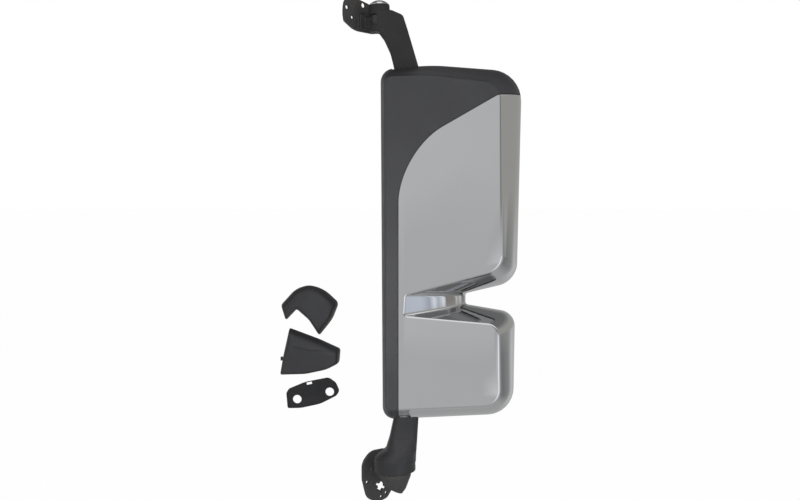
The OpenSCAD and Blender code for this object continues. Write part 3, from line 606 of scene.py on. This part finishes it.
rearBezel = bezelSolid("rearBezel", 0, 0)
combine(rearBezel, bezelSolid("bezelTool", bezel["wall"], 5), "DIFFERENCE")
for corners in (mainGlassCorners, wideGlassCorners):
    combine(rearBezel, openingLip("lip", corners), "UNION")
for corners in (mainGlassCorners, wideGlassCorners):
    combine(rearBezel, prism("way", insetCorners(corners, -glassShape["gap"]), -10, 50, 8), "DIFFERENCE")
for height in bezel["screwHeights"]:
    hole = barrel("hole", bezel["screwRadius"], -60, 10, 24)
    placed(hole, Matrix.Rotation(math.radians(90), 4, "X"))
    placed(hole, Matrix.Translation(Vector((bezel["screwX"], 0, height)) * unit))
    combine(rearBezel, hole, "DIFFERENCE")
placed(rearBezel, atHead)
cleaned(rearBezel)
editAll(rearBezel)
selectWhere(rearBezel, "edges", lambda e: len(e.link_faces) == 2
            and e.calc_face_angle(0) > math.radians(bezel["sharp"])
            and min(v.co.y for v in e.verts) > (headAt.y + bezel["behind"]) * unit)
bpy.ops.mesh.bevel(offset=bezel["edge"] * unit, offset_type="OFFSET", segments=3, affect="EDGES",
                   clamp_overlap=True)
leaveEdit()
finishPiece(rearBezel, "rearBezel", housingBlack, "head", ["rear_bezel"], 30)
print("rear bezel made", len(rearBezel.data.polygons))


# a flat pane with bevelled edges, or one that bulges to the rear on a sphere of the given radius
def glassPane(name, corners, body, node, curve=0):
    y, thick = glassShape["y"], glassShape["thick"]
    pane = prism(name, corners, y, y + thick, 10)
    if curve:
        editAll(pane)
        lowX, highX = min(c[0] for c in corners), max(c[0] for c in corners)
        lowZ, highZ = min(c[1] for c in corners), max(c[1] for c in corners)
        count = glassShape["cuts"]
        for i in range(1, count):
            for normal, spot in (((1, 0, 0), lowX + (highX - lowX) * i / count),
                                 ((0, 0, 1), lowZ + (highZ - lowZ) * i / count)):
                bpy.ops.mesh.select_all(action="SELECT")
                point = Vector((spot, 0, 0) if normal[0] else (0, 0, spot)) * unit
                bpy.ops.mesh.bisect(plane_co=point, plane_no=normal)
        leaveEdit()
        centre = Vector(((lowX + highX) / 2, 0, (lowZ + highZ) / 2)) * unit
        for v in pane.data.vertices:
            out = (Vector((v.co.x, 0, v.co.z)) - centre).length
            back = y * unit + thick * unit - v.co.y
            r = curve * unit - back
            v.co.y += glassShape["lift"] * unit + math.sqrt(r * r - out * out) - r
    else:
        editAll(pane)
        selectWhere(pane, "edges", lambda e: all(abs(v.co.y - (y + thick) * unit) < 1e-6 for v in e.verts))
        bpy.ops.mesh.bevel(offset=glassShape["edge"] * unit, segments=2, affect="EDGES")
        leaveEdit()
    placed(pane, atHead)
    return finishPiece(pane, name, silvered, body, [node], 20)


glassPane("mainGlass", mainGlassCorners, "main_mirror", "main_glass")
glassPane("wideGlass", wideGlassCorners, "wide_mirror", "wide_glass", glassShape["curve"])
print("glasses made")

# lower arm cover
outer = placed(barrel("foot", foot["radius"], foot["low"], foot["high"], 96), onAxis(0))
stemSolid = loft("stem", [stemRing(z, 0) for z in stem["levels"]])
lowerArmCover = softened(joined([outer, stemSolid], "lowerArmCover"), 0.9, 5)
room = placed(barrel("footTool", foot["radius"] - foot["wall"], foot["low"] - 2, foot["high"], 96), onAxis(0))
combine(lowerArmCover, room, "DIFFERENCE")
# the hollow's rings lie lower than the outer ones, so the top keeps a wall and the foot opens into it
levels = [stemRing(z - (3 if z == stemTop else 2), -foot["wall"]) for z in stem["levels"]]
combine(lowerArmCover, loft("stemTool", levels), "DIFFERENCE")
tubeLow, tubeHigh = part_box("spine_tube")
tubeAt = (tubeLow + tubeHigh) / 2 / unit
tubeR = (tubeHigh.x - tubeLow.x) / 2 / unit
tubePlace = Matrix.Translation(Vector((tubeAt.x, tubeAt.y, 0)) * unit)
combine(lowerArmCover, placed(barrel("tubeHole", tubeR + gap, 60, 160), tubePlace), "DIFFERENCE")
finishPiece(lowerArmCover, "lowerArmCover", coverBlack, "head", ["lower_arm_cover"], 45)
# keeps the stem out of the chrome's lower edge
lowerArmCover.visible_glossy = False
print("lower arm cover made", len(lowerArmCover.data.polygons))

# upper arm: a leg and a knuckle, cut out for the bracket's eye
knuckle = {"radius": 20.2, "low": 58, "high": 109, "eyeLow": 71, "eyeThick": 20, "eyeRadius": 15.5, "play": 0.6,
           "bore": 9.55, "headRoom": 12, "headDeep": 6.3, "sweepRadius": 70, "sweep": (38, 256, 31)}
topZ = headAt.z + headTop
half = elbow["halfDepth"]
leg = prism("leg", elbow["corners"], axisPoint.y - half, axisPoint.y + half, 8)
placed(leg, Matrix.Translation(Vector((0, 0, topZ)) * unit))
rounded(leg, 3.5, 4, 50)
hub = placed(barrel("hub", knuckle["radius"], knuckle["low"], knuckle["high"], 72), onAxis(topZ))
rounded(hub, 1.2, 3, 50)
upperArm = softened(joined([leg, hub], "upperArm"), 1.0, 4)


# the eye's room and the sweep of the bracket's stem round it
def slotTool():
    deep = knuckle["eyeThick"] + 2 * knuckle["play"]
    disc = barrel("disc", knuckle["eyeRadius"] + knuckle["play"], 0, deep, 72)
    reach = knuckle["sweepRadius"]
    sweep = [(0, 0, 0.8)] + [(reach * math.cos(math.radians(a)), reach * math.sin(math.radians(a)), 0.8)
                             for a in range(*knuckle["sweep"])]
    fan = outline("fan", sweep, flatPlace(0), 2)
    editAll(fan)
    bpy.ops.mesh.extrude_region_move(TRANSFORM_OT_translate={"value": Vector((0, 0, deep)) * unit})
    leaveEdit()
    outward(fan)
    combine(disc, fan, "UNION")
    return placed(disc, onAxis(topZ + knuckle["eyeLow"] - knuckle["play"]))


combine(upperArm, slotTool(), "DIFFERENCE")
combine(upperArm, placed(barrel("bore", knuckle["bore"], 30, 130, 64), onAxis(topZ)), "DIFFERENCE")
combine(upperArm, placed(barrel("room", knuckle["headRoom"], 38, knuckle["low"] + knuckle["headDeep"], 64),
                         onAxis(topZ)), "DIFFERENCE")
socket = barrel("socket", tubeR + 0.05, topZ - 40, topZ + 10, 64)
combine(upperArm, placed(socket, tubePlace), "DIFFERENCE")
# the upper arm takes the darker copy of the black cast finish, painted shade
finishPiece(upperArm, "upperArm", armBlack, "head", ["upper_arm"], 40)
print("upper arm made", len(upperArm.data.polygons))

# lower bracket: a flange, a web and a cup round the pivot pin
lowFlange = {"corners": [(-37, -8, 30), (-26, -48, 22), (0, -62, 20), (24, -56, 12), (40, -36, 14),
                         (39, 22, 26), (24, 47, 18), (-16, 47, 26), (-37, 26, 26)],
             "thick": 6, "pcd": 60, "hole": 3.5, "star": (8, -29, 8.5, 13.5), "rayHalf": 2,
             "small": ((21, -45), (9, -51)), "smallHole": 3.4, "web": ((4, -17, -24), (44, 17, 14))}
cup = {"profile": [(0, -28), (12.5, -28), (20.7, -17), (26.5, -3), (31.5, 9), (31.5, 16), (0, 16)],
       "pin": 8.05, "head": 10.3, "headTop": -6.7, "cut": (51.2, -26), "slope": 28}


# a cutter through a plate at (a, b) of its own face
def acrossPlate(name, r, a, b, length):
    tool = barrel(name, r, -4, length, 48)
    placed(tool, Matrix.Rotation(math.radians(90), 4, "Y"))
    return placed(tool, Matrix.Translation(Vector((0, a, b)) * unit))


# a round hole with six square rays
def starTool():
    a, b, r, reach = lowFlange["star"]
    ray = lowFlange["rayHalf"]
    corners = []
    for i in range(6):
        turn = math.radians(60 * i + 30)
        for along, side in ((r * 0.96, -ray), (reach, -ray), (reach, ray), (r * 0.96, ray)):
            x = along * math.cos(turn) - side * math.sin(turn)
            y = along * math.sin(turn) + side * math.cos(turn)
            corners.append((a + x, b + y, 0.4))
    tool = prism("star", corners, 4, -8, 2)
    return placed(tool, plateStand)


def flangePlate(corners, thick):
    plate = prism("plate", corners, 0, -thick, 8)
    placed(plate, plateStand)
    return outward(plate)


lowPlate = placed(flangePlate(lowFlange["corners"], lowFlange["thick"]), onPlate((0, 0, 0)))
web = placed(block("web", *lowFlange["web"]), onPlate((0, 0, 0)))
cupSolid = placed(turnedProfile("cup", cup["profile"], 72), onAxis(0))
slopeTurn = Matrix.Rotation(math.radians(cup["slope"]), 4, "Y")
slopeAt = Matrix.Translation(Vector((cup["cut"][0], axisPoint.y, cup["cut"][1])) * unit)
for part in (web, cupSolid):
    combine(part, placed(block("below", (-150, -100, -100), (50, 100, 0)), slopeAt @ slopeTurn), "DIFFERENCE")
lowerBracket = softened(joined([lowPlate, web, cupSolid], "lowerBracket"), 0.9, 3)
combine(lowerBracket, placed(starTool(), onPlate((0, 0, 0))), "DIFFERENCE")
for angle in (90, 210, 330):
    a, b = (lowFlange["pcd"] / 2 * f(math.radians(angle)) for f in (math.cos, math.sin))
    hole = acrossPlate("bolt", lowFlange["hole"], a, b, 10)
    combine(lowerBracket, placed(hole, onPlate((0, 0, 0))), "DIFFERENCE")
for a, b in lowFlange["small"]:
    hole = acrossPlate("small", lowFlange["smallHole"], a, b, 10)
    combine(lowerBracket, placed(hole, onPlate((0, 0, 0))), "DIFFERENCE")
combine(lowerBracket, placed(barrel("pinBore", cup["pin"], -40, 30, 64), onAxis(0)), "DIFFERENCE")
combine(lowerBracket, placed(barrel("headBore", cup["head"], -40, cup["headTop"], 64), onAxis(0)), "DIFFERENCE")
finishPiece(lowerBracket, "lowerBracket", castBlack, "brackets", ["lower_bracket"], 40)
print("lower bracket made", len(lowerBracket.data.polygons))

# upper bracket: a flange, a pad, and a bar to the eye in the knuckle
highFlange = {"corners": [(-52, -17, 6), (-28, -33, 40), (20, -36, 30), (54, -20, 12), (54, 6, 14),
                          (30, 14, 30), (-16, 27, 40), (-36, 31, 20), (-51, 24, 10), (-56, 2, 60)],
              "thick": 6, "spacing": 68, "hole": 3.5, "drop": -8, "extra": ((-46, 10, 4.2), (-8, 17.5, 5)),
              "rise": 97, "off": 47.1, "pad": ((4, -20, -30), (12, 20, -2)), "barHalf": 9, "bore": 7.05}
highZ = topZ + highFlange["rise"]
highAt = Vector((axisPoint.x + axisWay.x / axisWay.z * highZ - highFlange["off"] * plateWay.x,
                 axisPoint.y - highFlange["off"] * plateWay.y, highZ))
highPlate = placed(flangePlate(highFlange["corners"], highFlange["thick"]), onPlate(highAt))
pad = placed(block("pad", *highFlange["pad"]), onPlate(highAt))
eye = barrel("eye", knuckle["eyeRadius"], 0, knuckle["eyeThick"], 64)
barHalf = highFlange["barHalf"]
stemBar = placed(block("bar", (4, -barHalf, 1), (43, barHalf, knuckle["eyeThick"] - 1)),
                 Matrix.Rotation(math.pi - plateTurn, 4, "Z"))
for part in (eye, stemBar):
    placed(part, onAxis(topZ + knuckle["eyeLow"]))
upperBracket = softened(joined([highPlate, pad, eye, stemBar], "upperBracket"), 0.8, 4)
for s in (-1, 1):
    hole = acrossPlate("bolt", highFlange["hole"], s * highFlange["spacing"] / 2, highFlange["drop"], 20)
    combine(upperBracket, placed(hole, onPlate(highAt)), "DIFFERENCE")
for a, b, r in highFlange["extra"]:
    combine(upperBracket, placed(acrossPlate("extra", r, a, b, 12), onPlate(highAt)), "DIFFERENCE")
combine(upperBracket, placed(barrel("eyeBore", highFlange["bore"], 40, 120, 64), onAxis(topZ)), "DIFFERENCE")
finishPiece(upperBracket, "upperBracket", castBlack, "brackets", ["upper_bracket"], 40)
print("upper bracket made", len(upperBracket.data.polygons))

# washer and dome nut on the upper pivot, their edges broken by 0.3
dome = {"bore": 7.05, "washer": 19.6, "washerThick": 1.2, "radius": 19.2, "height": 8.3, "boreDeep": 5.6}
topOfKnuckle = topZ + knuckle["high"] + gap
washerProfile = [(dome["bore"], 0), (dome["washer"] - 0.3, 0), (dome["washer"], 0.3), (dome["washer"], 0.9),
                 (dome["washer"] - 0.3, 1.2), (dome["bore"], 1.2), (dome["bore"], 0)]
washer = turnedProfile("upperWasher", washerProfile, 96)
finishPiece(placed(washer, onAxis(topOfKnuckle)), "upperWasher", brightSteel, "brackets",
            ["upper_washer"], 30)
curve = (dome["radius"] ** 2 + dome["height"] ** 2) / (2 * dome["height"])
domeProfile = [(dome["bore"], 0), (dome["radius"] - 0.3, 0)]
edgeAngle = math.asin((dome["radius"] - 0.1) / curve)
for i in range(17):
    a = edgeAngle * (1 - i / 16)
    domeProfile.append((curve * math.sin(a), dome["height"] - curve + curve * math.cos(a)))
domeProfile += [(0, dome["boreDeep"]), (dome["bore"], dome["boreDeep"]), (dome["bore"], 0)]
domeNut = turnedProfile("upperDomeNut", domeProfile, 96)
finishPiece(placed(domeNut, onAxis(topOfKnuckle + dome["washerThick"])), "upperDomeNut", brightSteel,
            "brackets", ["upper_dome_nut"], 30)
print("pivot top made")

# loose caps, each between an open back and a closed front outline
loose = {"y": -11, "wall": 3, "depth": 27, "steps": (0, 0.15, 0.3, 0.45, 0.6, 0.75, 0.88, 1),
         "voxel": 0.9, "melt": 30, "ridgeRoot": 6, "ridgeRise": 0.9}
arched = {"back": [(-179, 312, 2.5), (-157, 335, 3), (-132, 312.5, 40), (-112.5, 281.5, 2.5), (-86, 315, 60),
                   (-73.5, 347, 10), (-104, 376, 60), (-134, 383, 30), (-160, 375, 40), (-189, 343, 6)],
          "front": [(-176, 321, 2), (-156, 343, 3), (-134, 325, 20), (-116, 300, 2), (-97, 318, 20),
                    (-92, 342, 8), (-110, 360, 30), (-134, 366, 15), (-152, 359, 20), (-176, 338, 5)]}
tapered = {"back": [(-191, 203.5, 2), (-140, 205, 60), (-98, 214, 60), (-73, 227, 8), (-70.5, 255, 6),
                    (-113, 274.5, 100), (-172.5, 297, 2.5), (-185, 240, 60)],
           "front": [(-187, 210, 2), (-140, 211, 60), (-99, 219, 50), (-81, 228, 6), (-81, 245, 5),
                     (-112, 250, 60), (-168, 263, 8), (-181, 238, 50)],
           "clip": ((-190, -20, 232), (-186, -13, 239)),
           "ridge": [(-165, 261.2, 0.8), (-150, 256.5, 30), (-132, 253.6, 30), (-108, 252.6, 0.3),
                     (-108, 254.8, 0.3), (-132, 256.6, 30), (-150, 260.1, 30), (-165, 265.6, 0.8)],
           "crest": [(-164, 261.4, 0.3), (-150, 256.5, 30), (-132, 253.6, 30), (-108, 252.6, 0.3),
                     (-108, 254, 0.3), (-132, 255.9, 30), (-150, 259.4, 30), (-164, 264.6, 0.3)]}


# a cover between its open back and closed front outlines, its skin a quarter round
def capSolid(name, shape, inset, over=0):
    rings = []
    if over:
        rings.append((shape["back"], frontPlace(loose["y"] + over), 5))
    for share in loose["steps"]:
        turn = share * math.pi / 2
        corners = []
        for back, front in zip(shape["back"], shape["front"]):
            corners.append(tuple(p + (q - p) * (1 - math.cos(turn)) for p, q in zip(back, front)))
        push = (1 if share == 0 else inset) if inset else 0
        y = loose["y"] - loose["depth"] * math.sin(turn) + push
        rings.append((insetCorners(corners, inset), frontPlace(y), 5))
    return loft(name, rings)


# the softened cover, cut level at its back and hollowed, with what the tapered one has besides
def capShell(name, shape, node):
    shell = softened(capSolid(name, shape, 0, 8), loose["voxel"], loose["melt"])
    combine(shell, block("behind", (-250, loose["y"], 150), (0, 50, 450)), "DIFFERENCE")
    if "clip" in shape:
        face = loose["y"] - loose["depth"]
        ridge = loft("ridge", [(shape["ridge"], frontPlace(face + loose["ridgeRoot"]), 5),
                               (shape["ridge"], frontPlace(face), 5),
                               (shape["crest"], frontPlace(face - loose["ridgeRise"]), 5)])
        combine(shell, ridge, "UNION")
        combine(shell, block("clip", *shape["clip"]), "UNION")
    combine(shell, capSolid("capTool", shape, loose["wall"]), "DIFFERENCE")
    return finishPiece(shell, name, coverBlack, "brackets", [node], 45)


capShell("archedCap", arched, "arched_cap")
capShell("taperedCap", tapered, "tapered_cap")
print("loose caps made")

gasketShape = {"at": (-126.5, 165.5), "turn": 12.9, "hole": 8.6, "spacing": 67, "drop": -5.5, "thick": 3,
               "slot": ((-8, -5, 18), (3, 9, 23)), "edge": 0.5,
               "corners": [(-56.5, -19, 4), (-30, -24.5, 60), (10, -25, 60), (45, -16, 10), (53, -8, 8),
                           (50, 10, 16), (38, 23.5, 12), (-10, 25, 80), (-45, 19, 8), (-52, 12, 8)]}
gasket = prism("flangeGasket", gasketShape["corners"], 0, gasketShape["thick"], 8)
for s in (-1, 1):
    ring = placed(barrel("hole", gasketShape["hole"], -10, 10, 48), Matrix.Rotation(math.radians(90), 4, "X"))
    spot = Vector((s * gasketShape["spacing"] / 2, 0, gasketShape["drop"])) * unit
    combine(gasket, placed(ring, Matrix.Translation(spot)), "DIFFERENCE")
combine(gasket, block("slot", *gasketShape["slot"]), "DIFFERENCE")
rounded(gasket, gasketShape["edge"], 2, 60)
spot = Vector((gasketShape["at"][0], loose["y"] - gasketShape["thick"], gasketShape["at"][1])) * unit
placed(gasket, Matrix.Translation(spot) @ Matrix.Rotation(math.radians(-gasketShape["turn"]), 4, "Y"))
finishPiece(gasket, "flangeGasket", gasketBlack, "brackets", ["flange_gasket"], 40)
print("gasket made")


def mathNode(tree, operation, first, second):
    node = tree.nodes.new("ShaderNodeMath")
    node.operation = operation
    for socket, value in zip(node.inputs, (first, second)):
        if isinstance(value, (int, float)):
            socket.default_value = value
        else:
            tree.links.new(value, socket)
    return node.outputs["Value"]


def rangeNode(tree, value, low, high):
    node = tree.nodes.new("ShaderNodeMapRange")
    node.inputs["From Min"].default_value = low
    node.inputs["From Max"].default_value = high
    tree.links.new(value, node.inputs["Value"])
    return node.outputs["Result"]


def manyStops(tree, value, stops):
    ramp = tree.nodes.new("ShaderNodeValToRGB")
    elements = ramp.color_ramp.elements
    elements[0].position, elements[1].position = stops[0][0], stops[-1][0]
    for place, colour in stops[1:-1]:
        elements.new(place)
    for element, (place, colour) in zip(elements, stops):
        element.color = (*colour, 1) if isinstance(colour, tuple) else (colour, colour, colour, 1)
    tree.links.new(value, ramp.inputs["Fac"])
    return ramp.outputs["Color"]


def mixColours(tree, factor, first, second):
    mix = tree.nodes.new("ShaderNodeMixRGB")
    for socket, source in zip(mix.inputs, (factor, first, second)):
        tree.links.new(source, socket)
    return mix.outputs["Color"]


def mixShaders(tree, factor, first, second):
    mix = tree.nodes.new("ShaderNodeMixShader")
    for socket, source in zip(mix.inputs, (factor, first, second)):
        tree.links.new(source, socket)
    return mix.outputs["Shader"]


def glow(tree, kind, colour, strength):
    node = tree.nodes.new(kind)
    node.inputs["Strength"].default_value = strength
    if isinstance(colour, tuple):
        node.inputs["Color"].default_value = (*colour, 1)
    else:
        tree.links.new(colour, node.inputs["Color"])
    return node.outputs[0]


studio = {
    # the light that dull surfaces get, from straight below to straight above
    "room": [(0.0, 0.34), (0.35, 0.46), (0.5, 0.43), (0.7, 0.29), (1.0, 0.24)],
    # panels that bright metal sees round the room: 0 and 1 behind, 0.5 in front, 0.75 to the right
    "overhead": [(0.0, 0.11), (0.22, 0.14), (0.36, 0.7), (0.64, 0.7), (0.78, 0.14), (1.0, 0.11)],
    "upper": [(0.0, 0.29), (0.2, 0.28), (0.36, 0.4), (0.47, 0.42), (0.5, 0.43), (0.535, 0.41), (0.555, 0.10),
              (0.59, 0.12), (0.62, (0.29, 0.285, 0.27)), (0.85, (0.275, 0.27, 0.255)), (1.0, 0.28)],
    "lower": [(0.0, 0.3), (0.2, 0.28), (0.36, 0.4), (0.47, 0.385), (0.5, 0.39), (0.54, 0.38), (0.565, 1.0),
              (0.595, 1.0), (0.615, (0.42, 0.45, 0.51)), (0.65, (0.46, 0.49, 0.55)), (0.66, (0.32, 0.34, 0.39)),
              (0.668, (0.62, 0.65, 0.7)), (0.676, (0.36, 0.38, 0.43)), (0.69, (0.7, 0.72, 0.76)),
              (0.695, (0.2, 0.19, 0.175)), (0.73, (0.21, 0.2, 0.185)), (0.74, 0.5), (0.75, 0.26), (0.77, 0.48),
              (0.8, 0.15), (0.85, 0.22), (0.885, 0.42), (0.93, 0.33), (1.0, 0.3)],
    "below": [(0.0, 0.3), (1.0, 0.3)],
    "strength": 1.6,
    # how high, as a direction's rise, one row of panels gives way to the next
    "toBelow": (-0.7, -0.4), "toUpper": (-0.14, -0.02), "toOverhead": (0.25, 0.5),
    "floorShare": 0.985, "floorGap": 0.004,
}

floorLevel = cadBox[0].z - studio["floorGap"]
deselect()
bpy.ops.mesh.primitive_plane_add(size=60, location=(0, 0, floorLevel))
floor = bpy.context.object
floor.name = "floor"
floor.visible_glossy = False
floorPaint = bpy.data.materials.new("floorPaint")
floorPaint.use_nodes = True
tree = floorPaint.node_tree
paint = tree.nodes["Principled BSDF"]
paint.inputs["Base Color"].default_value = (0.85, 0.85, 0.85, 1)
paint.inputs["Roughness"].default_value = 0.9
path = tree.nodes.new("ShaderNodeLightPath")
seen = mathNode(tree, "MAXIMUM", path.outputs["Is Camera Ray"], path.outputs["Is Transmission Ray"])
white = glow(tree, "ShaderNodeEmission", (1, 1, 1), 1.0)
# the floor shows nearly white and keeps a trace of its own shade
mostly = mathNode(tree, "MULTIPLY", seen, studio["floorShare"])
floorLook = mixShaders(tree, mostly, paint.outputs["BSDF"], white)
tree.links.new(floorLook, tree.nodes["Material Output"].inputs["Surface"])
floor.data.materials.append(floorPaint)

world = bpy.data.worlds.new("studio")
bpy.context.scene.world = world
world.use_nodes = True
tree = world.node_tree
tree.nodes.clear()
output = tree.nodes.new("ShaderNodeOutputWorld")
coords = tree.nodes.new("ShaderNodeTexCoord")
split = tree.nodes.new("ShaderNodeSeparateXYZ")
tree.links.new(coords.outputs["Generated"], split.inputs["Vector"])
rise = split.outputs["Z"]
towardsFront = mathNode(tree, "MULTIPLY", split.outputs["Y"], -1.0)
aroundRoom = rangeNode(tree, mathNode(tree, "ARCTAN2", split.outputs["X"], towardsFront), -math.pi, math.pi)
rows = {name: manyStops(tree, aroundRoom, studio[name]) for name in ("lower", "upper", "overhead", "below")}
panels = mixColours(tree, rangeNode(tree, rise, *studio["toUpper"]), rows["lower"], rows["upper"])
panels = mixColours(tree, rangeNode(tree, rise, *studio["toOverhead"]), panels, rows["overhead"])
panels = mixColours(tree, rangeNode(tree, rise, *studio["toBelow"]), rows["below"], panels)
path = tree.nodes.new("ShaderNodeLightPath")
room = glow(tree, "ShaderNodeBackground", manyStops(tree, rangeNode(tree, rise, -1, 1), studio["room"]), 1.0)
panelLight = glow(tree, "ShaderNodeBackground", panels, studio["strength"])
backdrop = glow(tree, "ShaderNodeBackground", (1, 1, 1), 1.0)
seen = mathNode(tree, "MAXIMUM", path.outputs["Is Camera Ray"], path.outputs["Is Transmission Ray"])
light = mixShaders(tree, path.outputs["Is Glossy Ray"], room, panelLight)
tree.links.new(mixShaders(tree, seen, light, backdrop), output.inputs["Surface"])

centre = (cadBox[0] + cadBox[1]) / 2


# a lamp that faces the object; its own image shows in bright metal only when reflected is set
def softbox(name, offset, size, power, reflected=False):
    deselect()
    bpy.ops.object.light_add(type="AREA", location=centre + Vector(offset))
    lamp = bpy.context.object
    lamp.name = name
    lamp.data.shape = "RECTANGLE"
    lamp.data.size, lamp.data.size_y = size
    lamp.data.energy = power
    lamp.visible_glossy = reflected
    lamp.rotation_euler = (-Vector(offset)).to_track_quat("-Z", "Y").to_euler()


softbox("frontBox", (-0.1, -2.4, 0.3), (2.0, 1.6), 10)
softbox("leftBox", (-0.12, -0.7, -0.12), (0.25, 0.35), 3.6)
softbox("rightBox", (1.3, -1.3, 0.0), (0.6, 1.2), 12)
softbox("topBox", (0.0, -0.9, 2.2), (1.6, 1.0), 2)
softbox("streakBox", (0.0, 0.4, 1.9), (0.6, 0.35), 0.9, True)

view = {"at": (0.0483, -1.9175, 0.5724), "down": 3.6, "sensor": 36, "lens": 43.2}
bpy.ops.object.camera_add(location=view["at"], rotation=(math.radians(90 - view["down"]), 0, 0))
camera = bpy.context.object
camera.data.sensor_width = view["sensor"]
camera.data.lens = view["lens"]
bpy.context.scene.camera = camera
bpy.context.scene.view_settings.view_transform = "Standard"
print("stage, light and camera made")
